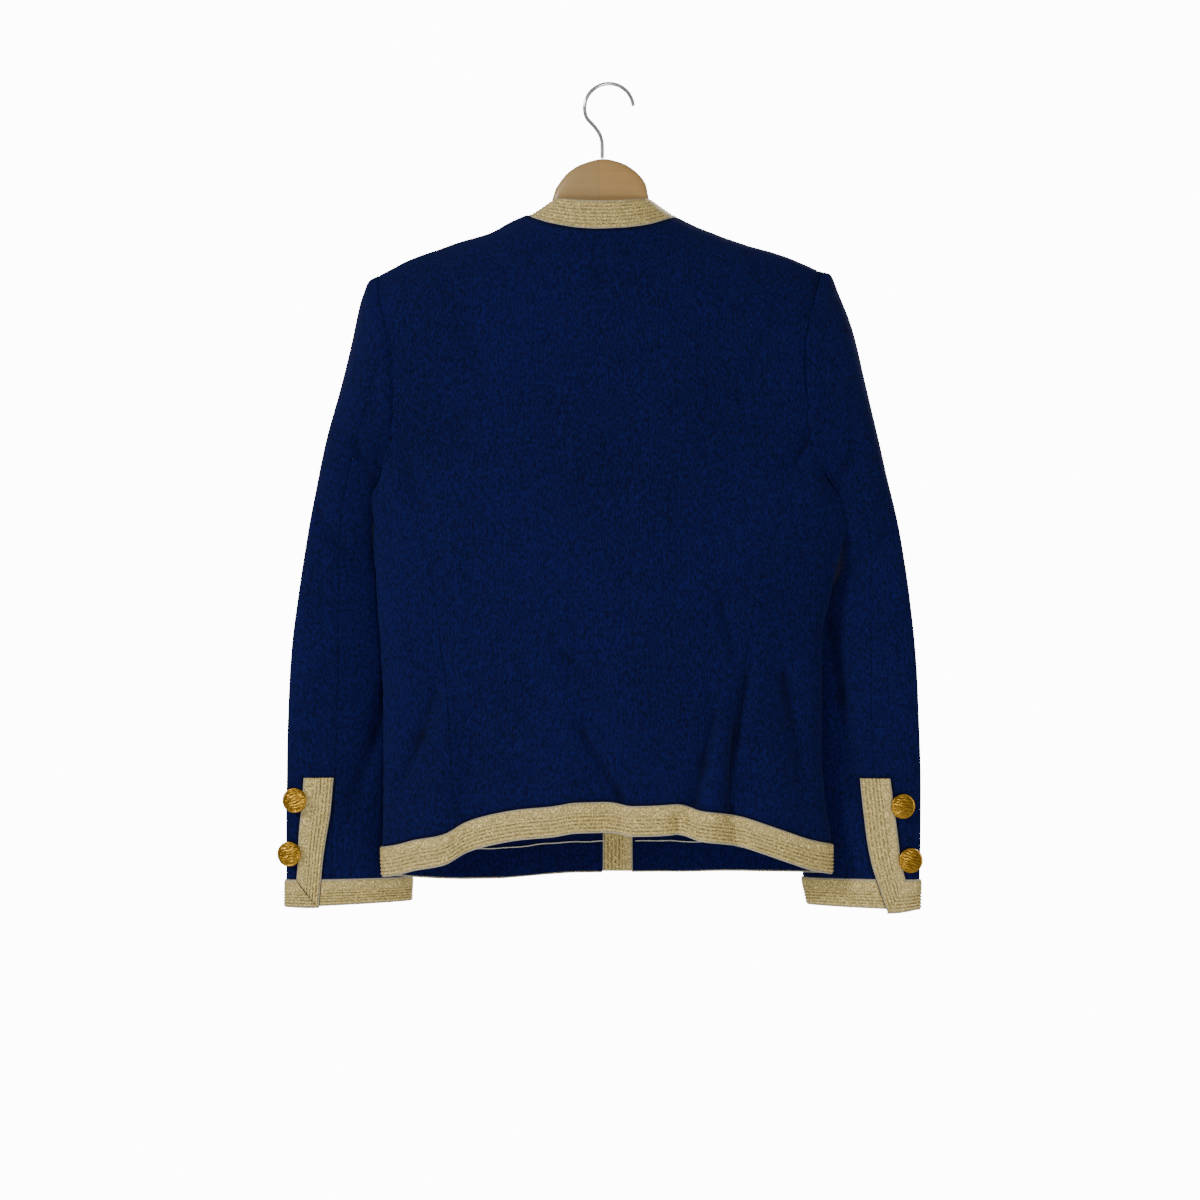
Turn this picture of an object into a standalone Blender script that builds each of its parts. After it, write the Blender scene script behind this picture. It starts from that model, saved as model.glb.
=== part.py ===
"""Knit blazer hanging on a wooden hanger, its back towards the viewer.

The inside top of the hook is the origin. X runs to the viewer's right as one
looks at the back of the garment, Y runs from its back to its front, Z is up.
Heights in the tables are drops in millimetres below the inside top of the hook.
"""

import bisect
import math
from collections import namedtuple

import bmesh
import bpy
import numpy as np

# Driving sizes, in millimetres

MM = 0.001
CLOTH = 2.0
TRIM = 1.4
RIB = 0.7
GAP = 0.3
TRIM_GAP = 0.45
VENT_GAP = 0.6
ARMHOLE_GAP = 1.15
TRIM_WIDTH = 26.5
RIDGE_ROUND = 62.0
SIDE_GAP = 0.16
HALF_WIDTH = 205.0
SLEEVE_LENGTH = 560.0
SEAM_TOP_DROP = 333.0
UNDERARM_LEFT_DROP = 378.7
UNDERARM_RIGHT_DROP = 394.3
ALL_ROUND = (-100.0, 100.0)
BUTTON_RADIUS = 11.6
CUFF_SHANK_LIFT = 0.5
WIRE_RADIUS = 1.75
LOOP_RADIUS = 22.5
BUTTON_SIDES = 16
WOOD_SIDES = 10
LOOP_POINTS = 17

# How the trims sit on the cloth, as shares, angles or millimetres

HEM_TOP = 0.051
EDGE_ANGLE = 0.012
NECK_GAP = 0.4
CUFF_TOP_V = 0.931
VENT_CLEAR = 0.035
TURN_CLEAR = 0.06
TAPE_TOP = 30.0
TAPE_WIDTH = 3.2
TAPE_THICK = 0.9
BACK_SEAM_OPENING = 0.003
FRONT_SEAM_OPENING = 0.018
TOP_ANGLES = 15
UNDER_ANGLES = 10

# How the rounded forms swell

NECK_POWER = 2.3
GAPE_POWER = 0.75
WIDEST_GAPE = 29.0
CALM_SIDES = 2.2
FOLD_FADE = 1.6

# The body's side edges and how far back and front gape at the armhole

Edge = namedtuple("Edge", "drop x gape")
LEFT_EDGE = (
    Edge(170.0, -212.4, 15.0),
    Edge(175.4, -212.1, 16.0),
    Edge(194.7, -210.7, 22.0),
    Edge(214.0, -206.1, 26.0),
    Edge(246.2, -200.1, 29.0),
    Edge(271.9, -198.7, 29.0),
    Edge(301.4, -199.0, 27.0),
    Edge(323.5, -200.1, 22.0),
    Edge(338.2, -202.9, 17.0),
    Edge(351.1, -207.9, 12.0),
    Edge(365.8, -212.4, 6.5),
    Edge(378.7, -219.9, 0.0),
    Edge(390.0, -218.2, 0.0),
    Edge(404.4, -216.2, 0.0),
    Edge(430.2, -216.7, 0.0),
    Edge(452.3, -214.4, 0.0),
    Edge(476.2, -213.4, 0.0),
    Edge(525.0, -209.8, 0.0),
    Edge(569.1, -207.9, 0.0),
    Edge(613.3, -207.9, 0.0),
    Edge(657.4, -207.9, 0.0),
    Edge(702.5, -208.8, 0.0),
    Edge(735.0, -207.0, 0.0),
)
RIGHT_EDGE = (
    Edge(166.0, 194.4, 15.0),
    Edge(170.8, 193.2, 16.0),
    Edge(190.1, 188.1, 22.0),
    Edge(215.8, 181.7, 26.0),
    Edge(241.6, 177.6, 29.0),
    Edge(267.4, 177.2, 29.0),
    Edge(288.5, 179.4, 28.0),
    Edge(310.6, 181.7, 25.0),
    Edge(333.6, 184.9, 20.0),
    Edge(344.6, 191.3, 17.0),
    Edge(359.4, 198.7, 13.0),
    Edge(370.4, 206.8, 9.5),
    Edge(383.3, 216.1, 4.5),
    Edge(394.3, 219.9, 0.0),
    Edge(409.0, 219.0, 0.0),
    Edge(426.5, 213.9, 0.0),
    Edge(449.5, 208.8, 0.0),
    Edge(480.8, 201.5, 0.0),
    Edge(502.9, 196.9, 0.0),
    Edge(569.1, 196.0, 0.0),
    Edge(613.3, 196.0, 0.0),
    Edge(657.4, 199.2, 0.0),
    Edge(696.0, 204.7, 0.0),
    Edge(735.0, 204.2, 0.0),
)

# The lower and upper ends of each column of cloth, across from -1 to 1

Column = namedtuple("Column", "across back_hem front_hem shoulder")
COLUMNS = (
    Column(-1.0, 726.4, 726.4, 175.4),
    Column(-0.947, 724.5, 727.0, 169.4),
    Column(-0.85, 719.0, 729.0, 160.0),
    Column(-0.723, 713.5, 731.0, 150.5),
    Column(-0.62, 702.0, 731.8, 143.4),
    Column(-0.50, 694.5, 731.5, 136.0),
    Column(-0.378, 690.0, 729.5, 123.6),
    Column(-0.25, 687.5, 727.5, 113.0),
    Column(-0.13, 683.8, 726.2, 106.0),
    Column(0.0, 683.4, 726.0, 102.0),
    Column(0.114, 687.0, 726.0, 103.0),
    Column(0.226, 686.5, 725.5, 109.0),
    Column(0.31, 685.5, 725.2, 116.5),
    Column(0.418, 691.5, 724.8, 127.5),
    Column(0.50, 693.5, 724.6, 134.4),
    Column(0.60, 697.5, 724.4, 142.2),
    Column(0.691, 703.5, 724.2, 148.0),
    Column(0.80, 711.5, 724.0, 154.4),
    Column(0.91, 719.5, 723.8, 162.5),
    Column(1.0, 723.7, 723.7, 170.8),
)

# The neck: where its curve leaves the shoulder seams, and how low it dips

NECK_LEFT = -0.326
NECK_RIGHT = 0.355
NECK_SIDE_DROP = 119.9
NECK_BACK_DROP = 134.0
NECK_FRONT_DROP = 199.0
NECK_BAND_LEFT = -55.2
NECK_BAND_RIGHT = 41.9
NECK_BAND_SIDE_DROP = 100.8
NECK_BAND_BACK_DROP = 108.2
NECK_BAND_LEAN = 7.0

# Depth of the hanging body behind and before the hanger

Depth = namedtuple("Depth", "drop back front")
DEPTHS = (
    Depth(100.0, 36.0, 38.0),
    Depth(200.0, 38.0, 42.0),
    Depth(300.0, 41.0, 48.0),
    Depth(400.0, 40.0, 46.0),
    Depth(500.0, 36.0, 41.0),
    Depth(600.0, 37.0, 41.0),
    Depth(735.0, 40.0, 42.0),
)

# The back seams from the armhole down, as a share of the half width

Seam = namedtuple("Seam", "drop left right")
SEAMS = (
    Seam(333.0, -1.0, 1.0),
    Seam(338.0, -0.975, 0.975),
    Seam(346.0, -0.94, 0.925),
    Seam(358.0, -0.895, 0.86),
    Seam(374.0, -0.845, 0.775),
    Seam(404.4, -0.805, 0.722),
    Seam(430.2, -0.772, 0.706),
    Seam(462.0, -0.745, 0.692),
    Seam(477.0, -0.738, 0.683),
    Seam(520.0, -0.722, 0.655),
    Seam(564.0, -0.70, 0.613),
    Seam(668.0, -0.665, 0.535),
    Seam(735.0, -0.64, 0.50),
)

# Folds hang as soft ridges (plus) or troughs (minus) along short lines

Fold = namedtuple("Fold", "x_top drop_top x_low drop_low height_top height_low width_top width_low")
BACK_FOLDS = (
    Fold(108.0, 560.0, 88.0, 712.0, 1.0, 10.0, 11.0, 19.0),
    Fold(93.0, 572.0, 64.0, 700.0, -2.0, -4.5, 8.0, 10.0),
    Fold(128.0, 548.0, 116.0, 705.0, -2.5, -4.0, 9.0, 12.0),
    Fold(-38.0, 525.0, -8.0, 566.0, -2.5, -2.5, 14.0, 14.0),
    Fold(-20.0, 585.0, 8.0, 690.0, -2.5, -3.5, 14.0, 16.0),
    Fold(-52.0, 600.0, -40.0, 700.0, 2.0, 3.5, 20.0, 24.0),
    Fold(-161.0, 560.0, -188.0, 634.0, -3.5, -3.0, 14.0, 15.0),
    Fold(-126.0, 590.0, -126.0, 700.0, -2.5, -3.0, 13.0, 16.0),
    Fold(-150.0, 600.0, -158.0, 705.0, 2.5, 4.0, 14.0, 20.0),
    Fold(162.0, 540.0, 175.0, 625.0, -4.0, -2.5, 13.0, 13.0),
    Fold(150.0, 620.0, 160.0, 710.0, 2.5, 3.5, 15.0, 20.0),
    Fold(104.0, 480.0, 113.0, 520.0, -2.0, -2.0, 8.0, 8.0),
    Fold(188.0, 318.0, 168.0, 350.0, -4.0, -2.5, 8.0, 9.0),
    Fold(196.0, 378.0, 150.0, 420.0, 3.0, 1.0, 12.0, 16.0),
    Fold(-196.0, 372.0, -150.0, 410.0, 3.0, 1.0, 12.0, 16.0),
)
FRONT_FOLDS = (
    Fold(-120.0, 250.0, -150.0, 330.0, -3.0, -3.5, 14.0, 14.0),
    Fold(104.0, 255.0, 128.0, 332.0, -3.0, -3.5, 14.0, 14.0),
    Fold(-110.0, 480.0, -122.0, 715.0, 2.0, 5.0, 20.0, 26.0),
    Fold(-70.0, 560.0, -78.0, 715.0, -2.0, -4.0, 14.0, 18.0),
    Fold(95.0, 500.0, 112.0, 715.0, 2.0, 5.0, 20.0, 26.0),
    Fold(62.0, 580.0, 70.0, 715.0, -2.0, -4.0, 13.0, 16.0),
    Fold(-150.0, 395.0, -95.0, 330.0, 2.5, 1.0, 16.0, 20.0),
    Fold(150.0, 400.0, 95.0, 330.0, 2.5, 1.0, 16.0, 20.0),
)

# The front edge: one band over the other

BAND_LEFT_X = -6.0
BAND_RIGHT_X = 21.0
OVERLAP_STEP = 4.4
OVERLAP_EASE = 55.0

# Sleeve rings from the armhole to the cuff. Share is how much of the
# armhole's own shape a ring still keeps.

Ring = namedtuple("Ring", "x_out drop_out x_in drop_in y_out y_in half share")
LEFT_RINGS = (
    Ring(-212.1, 175.4, -219.9, 378.7, 0.0, 0.0, 27.0, 1.0),
    Ring(-220.5, 179.5, -225.0, 383.5, 0.0, 2.5, 27.5, 0.97),
    Ring(-228.0, 197.0, -229.0, 389.0, 0.0, 6.0, 27.5, 0.84),
    Ring(-236.5, 236.0, -230.5, 397.0, 0.0, 10.5, 27.0, 0.62),
    Ring(-247.5, 280.0, -228.0, 408.5, 0.5, 17.0, 26.5, 0.40),
    Ring(-260.0, 326.0, -219.0, 424.0, 1.0, 24.0, 26.0, 0.20),
    Ring(-270.0, 372.0, -206.0, 444.0, 2.0, 29.5, 24.5, 0.07),
    Ring(-279.5, 425.0, -193.0, 468.0, 3.0, 33.0, 22.0, 0.0),
    Ring(-287.0, 474.0, -181.0, 496.0, 3.0, 35.5, 19.5, 0.0),
    Ring(-292.5, 521.0, -173.0, 530.0, 3.0, 37.0, 18.0, 0.0),
    Ring(-295.7, 580.0, -171.0, 582.0, 3.0, 37.0, 17.0, 0.0),
    Ring(-296.8, 636.0, -174.5, 636.0, 3.0, 36.0, 16.0, 0.0),
    Ring(-297.2, 679.0, -179.0, 679.0, 3.0, 35.0, 15.0, 0.0),
    Ring(-297.2, 729.0, -183.5, 729.0, 3.0, 33.0, 14.0, 0.0),
    Ring(-297.6, 756.0, -184.2, 752.5, 3.0, 31.0, 14.0, 0.0),
)
RIGHT_RINGS = (
    Ring(193.2, 170.8, 219.9, 394.3, 0.0, 0.0, 27.0, 1.0),
    Ring(203.0, 173.5, 225.5, 399.5, 0.0, 2.5, 27.5, 0.97),
    Ring(211.5, 193.0, 229.5, 404.5, 0.0, 6.0, 27.5, 0.84),
    Ring(224.0, 225.0, 231.5, 411.5, 0.0, 10.5, 27.0, 0.62),
    Ring(236.5, 276.0, 229.5, 421.0, 0.5, 17.0, 26.5, 0.40),
    Ring(248.0, 325.0, 221.0, 434.0, 1.0, 24.0, 26.0, 0.20),
    Ring(257.8, 367.0, 208.5, 452.0, 2.0, 29.5, 24.5, 0.07),
    Ring(268.5, 415.0, 194.0, 474.0, 3.0, 33.0, 22.0, 0.0),
    Ring(277.5, 474.0, 180.0, 502.0, 3.0, 35.5, 19.5, 0.0),
    Ring(282.5, 521.0, 170.5, 536.0, 3.0, 37.0, 18.0, 0.0),
    Ring(285.5, 580.0, 167.0, 584.0, 3.0, 37.0, 17.0, 0.0),
    Ring(287.2, 636.0, 168.5, 636.0, 3.0, 36.0, 16.0, 0.0),
    Ring(287.2, 679.0, 173.0, 679.0, 3.0, 35.0, 15.0, 0.0),
    Ring(286.3, 729.0, 180.0, 729.0, 3.0, 33.0, 14.0, 0.0),
    Ring(285.6, 758.5, 185.5, 756.0, 3.0, 31.0, 14.0, 0.0),
)
SLEEVE_FOLDS_LEFT = (
    Fold(-206.0, 560.0, -230.0, 645.0, -4.0, -3.0, 10.0, 11.0),
    Fold(-268.0, 395.0, -232.0, 440.0, -2.5, -2.0, 12.0, 12.0),
    Fold(-276.0, 545.0, -244.0, 500.0, 2.0, 1.5, 14.0, 14.0),
)
SLEEVE_FOLDS_RIGHT = (
    Fold(206.0, 498.0, 226.0, 655.0, -4.5, -3.5, 10.0, 11.0),
    Fold(257.0, 405.0, 222.0, 448.0, -2.5, -2.0, 12.0, 12.0),
    Fold(262.0, 560.0, 236.0, 520.0, 2.0, 1.5, 14.0, 14.0),
)

# Where the sleeve is cut, in degrees round it from its outer edge by the back

BACK_SEAM = 75.0
FRONT_SEAM = 205.0

# The vent band on the sleeve's back, and the buttons beside it

VentRow = namedtuple("VentRow", "drop x_out x_in")
LEFT_VENT = (
    VentRow(636.8, -280.6, -253.2),
    VentRow(669.0, -283.4, -256.2),
    VentRow(691.5, -285.4, -259.9),
    VentRow(713.5, -286.2, -263.1),
    VentRow(733.0, -287.6, -266.1),
    VentRow(755.0, -289.4, -268.9),
)
RIGHT_VENT = (
    VentRow(637.5, 258.8, 231.4),
    VentRow(669.0, 263.0, 234.4),
    VentRow(691.5, 265.9, 237.0),
    VentRow(713.5, 268.7, 241.0),
    VentRow(733.0, 273.0, 245.2),
    VentRow(757.5, 277.0, 254.8),
)
Seat = namedtuple("Seat", "x drop outward")
LEFT_CUFF_BUTTONS = (Seat(-287.6, 657.4, 14.0), Seat(-292.4, 706.7, 16.0))
RIGHT_CUFF_BUTTONS = (Seat(269.0, 662.8, 14.0), Seat(276.0, 712.5, 14.0))
FRONT_BUTTON_DROPS = (222.0, 324.0, 426.0, 528.0, 630.0)

# The hanger

Station = namedtuple("Station", "x top bottom half")
WOOD_STATIONS = (
    Station(-180.5, 164.0, 174.5, 2.6),
    Station(-176.0, 161.6, 177.0, 4.2),
    Station(-150.0, 156.0, 178.0, 5.2),
    Station(-120.0, 149.6, 174.0, 5.8),
    Station(-98.0, 141.4, 168.0, 6.2),
    Station(-84.0, 133.6, 163.0, 6.6),
    Station(-74.0, 126.4, 160.0, 7.0),
    Station(-61.5, 121.5, 157.0, 7.2),
    Station(-55.6, 114.0, 155.0, 7.5),
    Station(-52.6, 107.0, 153.5, 7.8),
    Station(-51.6, 100.5, 152.0, 8.0),
    Station(-46.9, 91.6, 150.0, 8.2),
    Station(-37.0, 79.7, 147.5, 8.5),
    Station(-24.0, 72.0, 145.5, 8.7),
    Station(-5.1, 67.6, 143.8, 8.8),
    Station(12.5, 71.6, 145.0, 8.7),
    Station(23.9, 78.7, 147.5, 8.5),
    Station(30.9, 85.8, 149.0, 8.3),
    Station(35.2, 93.3, 151.0, 8.1),
    Station(36.6, 100.5, 152.5, 8.0),
    Station(37.0, 107.0, 154.0, 7.8),
    Station(42.4, 114.0, 156.0, 7.5),
    Station(49.0, 121.5, 158.0, 7.2),
    Station(64.0, 127.0, 161.0, 7.0),
    Station(78.0, 135.4, 165.0, 6.6),
    Station(96.0, 144.6, 168.0, 6.2),
    Station(118.0, 150.8, 172.0, 5.6),
    Station(140.0, 155.6, 174.0, 5.0),
    Station(158.0, 160.0, 175.0, 4.2),
    Station(162.5, 162.6, 173.0, 2.6),
)
HOOK_CENTRE_X = 0.0
STEM_X = -6.2
STEM_TOP_DROP = 52.0
STEM_LOW_DROP = 67.3
HOOK_START = 202.0
HOOK_END = 4.0


TANGENTS = {}
TABLE_COLUMNS = {}


def smooth_table(keys, values, where):
    """Read a table at any place, with rounded joins between its rows."""
    keys = tuple(keys)
    values = tuple(values)
    if (keys, values) not in TANGENTS:
        TANGENTS[(keys, values)] = table_tangents(keys, values)
    tangents = TANGENTS[(keys, values)]
    where = min(max(where, keys[0]), keys[-1])
    i = min(max(bisect.bisect_left(keys, where) - 1, 0), len(keys) - 2)
    width = keys[i + 1] - keys[i]
    u = (where - keys[i]) / width
    a = (1 + 2 * u) * (1 - u) ** 2
    b = u * (1 - u) ** 2
    c = u * u * (3 - 2 * u)
    d = u * u * (u - 1)
    return a * values[i] + b * width * tangents[i] + c * values[i + 1] + d * width * tangents[i + 1]


def table_tangents(keys, values):
    """Slopes at the rows of a table that let no bump grow between two rows."""
    slopes = [(values[i + 1] - values[i]) / (keys[i + 1] - keys[i]) for i in range(len(keys) - 1)]
    tangents = [slopes[0]]
    for before, after in zip(slopes, slopes[1:]):
        if before * after > 0.0:
            tangents.append(2.0 * before * after / (before + after))
        else:
            tangents.append(0.0)
    tangents.append(slopes[-1])
    return tangents


def column_of(rows, name):
    """One named column of a table."""
    if (rows, name) not in TABLE_COLUMNS:
        TABLE_COLUMNS[(rows, name)] = tuple(getattr(row, name) for row in rows)
    return TABLE_COLUMNS[(rows, name)]


def mix(a, b, share):
    return a + (b - a) * share


def ease(share):
    share = min(max(share, 0.0), 1.0)
    return share * share * (3.0 - 2.0 * share)


def fold_height(folds, x, drop):
    """Sum the soft ridges and troughs of a fold table at one place."""
    total = 0.0
    for fold in folds:
        along_x = fold.x_low - fold.x_top
        along_d = fold.drop_low - fold.drop_top
        length = math.hypot(along_x, along_d)
        u = ((x - fold.x_top) * along_x + (drop - fold.drop_top) * along_d) / length ** 2
        across = ((x - fold.x_top) * along_d - (drop - fold.drop_top) * along_x) / length
        held = min(max(u, 0.0), 1.0)
        past = (u - held) * length
        width = mix(fold.width_top, fold.width_low, held)
        height = mix(fold.height_top, fold.height_low, held)
        fade = math.exp(-(past / (FOLD_FADE * width)) ** 2)
        total += height * fade * math.exp(-(across / width) ** 2)
    return total


ACROSS = column_of(COLUMNS, "across")


def neck_share(s):
    """How far a column lies inside the neck, 0 at its ends and 1 at its middle."""
    middle = (NECK_LEFT + NECK_RIGHT) / 2.0
    half = (NECK_RIGHT - NECK_LEFT) / 2.0
    return max(0.0, 1.0 - abs((s - middle) / half) ** NECK_POWER)


def ridge_drop(s):
    """The line that the cloth is rounded over, carried on across the neck."""
    return smooth_table(ACROSS, column_of(COLUMNS, "shoulder"), s)


def shoulder_drop(s):
    """The real shoulder line, level where the neck interrupts it."""
    if NECK_LEFT < s < NECK_RIGHT:
        return NECK_SIDE_DROP
    return ridge_drop(s)


def top_drop(s, front):
    """The upper end of a column on the back or on the front."""
    dip = (NECK_FRONT_DROP if front else NECK_BACK_DROP) - NECK_SIDE_DROP
    return shoulder_drop(s) + dip * neck_share(s)


def hem_drop(s, front):
    name = "front_hem" if front else "back_hem"
    return smooth_table(ACROSS, column_of(COLUMNS, name), s)


def edge_at(edges, drop, name):
    return smooth_table(column_of(edges, "drop"), column_of(edges, name), drop)


def body_point(angle, t, front):
    """A point of the body's outer face.

    The angle runs from 0 at the left side to pi at the right side, and t runs
    from 0 at the hem to 1 at the shoulder or the neck.
    """
    s = -math.cos(angle)
    top_left = top_drop(-1.0, front)
    top_right = top_drop(1.0, front)
    left_drop = mix(hem_drop(-1.0, front), top_left, t)
    right_drop = mix(hem_drop(1.0, front), top_right, t)
    left = edge_at(LEFT_EDGE, left_drop, "x")
    right = edge_at(RIGHT_EDGE, right_drop, "x")
    x = mix(left, right, (s + 1.0) / 2.0)
    drop = mix(hem_drop(s, front), top_drop(s, front), t)
    side = (s + 1.0) / 2.0
    gape = mix(edge_at(LEFT_EDGE, left_drop, "gape"), edge_at(RIGHT_EDGE, right_drop, "gape"), side)
    depth = smooth_table(column_of(DEPTHS, "drop"), column_of(DEPTHS, "front" if front else "back"), drop)
    power = 1.0 + GAPE_POWER * gape / WIDEST_GAPE
    below = min(max(drop - ridge_drop(s), 0.0), RIDGE_ROUND) / RIDGE_ROUND
    rounding = math.sqrt(max(0.0, 1.0 - (1.0 - below) ** 2))
    y = (gape + (depth - gape) * max(0.0, math.sin(angle)) ** power) * rounding
    calm = min(1.0, math.sin(angle) * CALM_SIDES) * ease(below * 1.2)
    y += fold_height(FRONT_FOLDS if front else BACK_FOLDS, x, drop) * calm
    y += SIDE_GAP
    if not front:
        y = -y
    return np.array((x, y, -drop))


def front_over_point(angle, t):
    """The right front steps out a little, so that its edge passes over the left one."""
    point = body_point(angle, t, True)
    reach = ease(1.0 - (point[0] - BAND_RIGHT_X) / OVERLAP_EASE)
    point[1] += OVERLAP_STEP * reach
    return point


def surface_normal(surface, u, v, outward, step_u=0.03, step_v=0.006, ends=(0.0, math.pi)):
    """The unit normal of a surface at one place, on the side asked for."""
    along = surface(u, min(1.0, v + step_v)) - surface(u, max(0.0, v - step_v))
    across = surface(min(ends[1], u + step_u), v) - surface(max(ends[0], u - step_u), v)
    normal = np.cross(across, along)
    length = float(np.linalg.norm(normal))
    return normal / length * outward


def collection_named(name):
    made = bpy.data.collections.new(name)
    bpy.context.scene.collection.children.link(made)
    return made


def material_named(name, colour, metallic, roughness):
    made = bpy.data.materials.new(name)
    made.use_nodes = True
    shader = made.node_tree.nodes["Principled BSDF"]
    shader.inputs["Base Color"].default_value = (*colour, 1.0)
    shader.inputs["Metallic"].default_value = metallic
    shader.inputs["Roughness"].default_value = roughness
    return made


def wall(name, outer, inner, colour):
    """Loft a wall between an outer and an inner grid of points.

    Each grid is a list of rows. Rows hold the same number of points in a
    grid, and both grids have the same number of rows.
    """
    mesh = bpy.data.meshes.new(name)
    build = bmesh.new()
    out = [[build.verts.new([c * MM for c in p]) for p in row] for row in outer]
    ins = [[build.verts.new([c * MM for c in p]) for p in row] for row in inner]
    for i in range(len(out) - 1):
        j = i + 1
        for k in range(len(out[0]) - 1):
            build.faces.new((out[i][k], out[i][k + 1], out[j][k + 1], out[j][k]))
        for k in range(len(ins[0]) - 1):
            build.faces.new((ins[i][k + 1], ins[i][k], ins[j][k], ins[j][k + 1]))
        build.faces.new((out[i][0], out[j][0], ins[j][0], ins[i][0]))
        build.faces.new((out[j][-1], out[i][-1], ins[i][-1], ins[j][-1]))
    cap_end(build, out[0], ins[0])
    cap_end(build, out[-1], ins[-1])
    bmesh.ops.recalc_face_normals(build, faces=build.faces[:])
    if build.calc_volume(signed=True) < 0.0:
        bmesh.ops.reverse_faces(build, faces=build.faces[:])
    build.to_mesh(mesh)
    build.free()
    for face in mesh.polygons:
        face.use_smooth = True
    return place(name, mesh, colour)


def cap_end(build, out, ins):
    """Close one end of a wall, square by square or with one face over the ribs."""
    if len(out) == len(ins):
        for k in range(len(out) - 1):
            build.faces.new((out[k], out[k + 1], ins[k + 1], ins[k]))
        return
    share = (len(out) - 1) / (len(ins) - 1)
    for k in range(len(ins) - 1):
        first = round(k * share)
        after = round((k + 1) * share)
        build.faces.new(out[first:after + 1] + [ins[k + 1], ins[k]])


def place(name, mesh, colour):
    thing = bpy.data.objects.new(name, mesh)
    thing.data.materials.append(colour)
    GARMENT.objects.link(thing)
    return thing


def panel(name, surface, angles, shares, colour, outward):
    """Cut a wall from a surface. Angles(share) gives the columns of one row."""
    outer = []
    inner = []
    for t in shares:
        out_row = []
        in_row = []
        for angle in angles(t):
            point = surface(angle, t)
            normal = surface_normal(surface, angle, t, outward)
            out_row.append(point)
            in_row.append(own_side(point - normal * CLOTH, point))
        outer.append(out_row)
        inner.append(in_row)
    return wall(name, outer, inner, colour)


def own_side(point, outside):
    """Keep an inner point on its own side of the shoulder and side seams."""
    side = math.copysign(1.0, outside[1])
    if point[1] * side < SIDE_GAP:
        point[1] = side * SIDE_GAP
    return point


def even(start, end, count):
    return [mix(start, end, i / (count - 1)) for i in range(count)]


def rib_profile(plain, ribs):
    """Places across a trim and their heights: a plain part, then raised ribs."""
    places = [(0.0, 0.0), (plain, 0.0)]
    pitch = (1.0 - plain) / ribs
    for i in range(ribs):
        start = plain + i * pitch
        places.append((start + 0.5 * pitch, 1.0))
        places.append((start + pitch, 0.0))
    return places


def trim_strip(name, rows, profile, colour, thick=TRIM, backing=3):
    """A ribbed trim. Each row is a function of the share across: point and normal."""
    outer = []
    inner = []
    for row in rows:
        out_row = []
        for share, raised in profile:
            point, normal = row(share)
            out_row.append(point + normal * (thick + RIB * raised))
        in_row = []
        for share in even(0.0, 1.0, backing):
            point, normal = row(share)
            in_row.append(point)
        outer.append(out_row)
        inner.append(in_row)
    return wall(name, outer, inner, colour)


def seam_angle(s):
    return math.acos(min(max(-s, -1.0), 1.0))


def seam_share_at(t, name, front=False):
    """The seam's place on a row: look down the seam table for the row's height."""
    drops = column_of(SEAMS, "drop")
    values = column_of(SEAMS, name)
    s = values[-1]
    for _ in range(12):
        drop = mix(hem_drop(s, front), top_drop(s, front), t)
        s = smooth_table(drops, values, drop)
    return s


def share_at_drop(s, drop, front):
    low = hem_drop(s, front)
    high = top_drop(s, front)
    return (low - drop) / (low - high)


for old in list(bpy.data.objects):
    bpy.data.objects.remove(old, do_unlink=True)

GARMENT = collection_named("knit_blazer")

NAVY = material_named("navy_knit", (0.006, 0.012, 0.045), 0.0, 0.85)
GOLD_RIB = material_named("gold_rib", (0.42, 0.34, 0.17), 0.25, 0.6)
PALE_TAPE = material_named("pale_tape", (0.62, 0.60, 0.52), 0.0, 0.7)
BRASS = material_named("gold_button", (0.72, 0.47, 0.12), 1.0, 0.3)
WOOD = material_named("tan_wood", (0.38, 0.24, 0.11), 0.0, 0.5)
CHROME = material_named("chrome_wire", (0.7, 0.7, 0.72), 1.0, 0.15)


def back(angle, t):
    return body_point(angle, t, False)


def front_under(angle, t):
    return body_point(angle, t, True)


def front_over(angle, t):
    return front_over_point(angle, t)


BACK_OUT = 1.0
FRONT_OUT = -1.0

# The rows of the body, from hem to shoulder, closer where the cloth turns

SEAM_TOP = share_at_drop(-1.0, SEAM_TOP_DROP, False)
SEAM_NOTCH = SEAM_TOP - 0.012
LOWER_ROWS = [0.0, HEM_TOP, 0.085, 0.12, 0.155, 0.195, 0.24, 0.29, 0.345, 0.41]
LOWER_ROWS += [0.47, 0.53, 0.575, 0.61, 0.645, 0.68]
UPPER_ROWS = [0.75, 0.8, 0.85, 0.9, 0.935, 0.96, 0.98, 0.993, 1.0]
BACK_ROWS = LOWER_ROWS + [SEAM_NOTCH, SEAM_TOP] + UPPER_ROWS
GAP_ANGLE = GAP / HALF_WIDTH


def spread(left, right, knots, counts, t):
    """Columns of a row, even at the hem and gathered on the neck's corners above."""
    held = ease((t - 0.45) / 0.45)
    total = sum(counts)
    stops = [left]
    done = 0
    for knot, count in zip(knots, counts):
        done += count
        stops.append(mix(mix(left, right, done / total), knot, held))
    stops.append(right)
    columns = [left]
    for start, end, count in zip(stops, stops[1:], counts):
        columns += even(start, end, count + 1)[1:]
    return columns


def back_centre_angles(t):
    left = 0.0
    right = math.pi
    if t < SEAM_TOP:
        left = seam_angle(seam_share_at(t, "left")) + GAP_ANGLE
        right = seam_angle(seam_share_at(t, "right")) - GAP_ANGLE
    return spread(left, right, (seam_angle(NECK_LEFT), seam_angle(NECK_RIGHT)), (5, 8, 5), t)


def back_left_angles(t):
    return even(0.0, seam_angle(seam_share_at(t, "left")) - GAP_ANGLE, 6)


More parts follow.
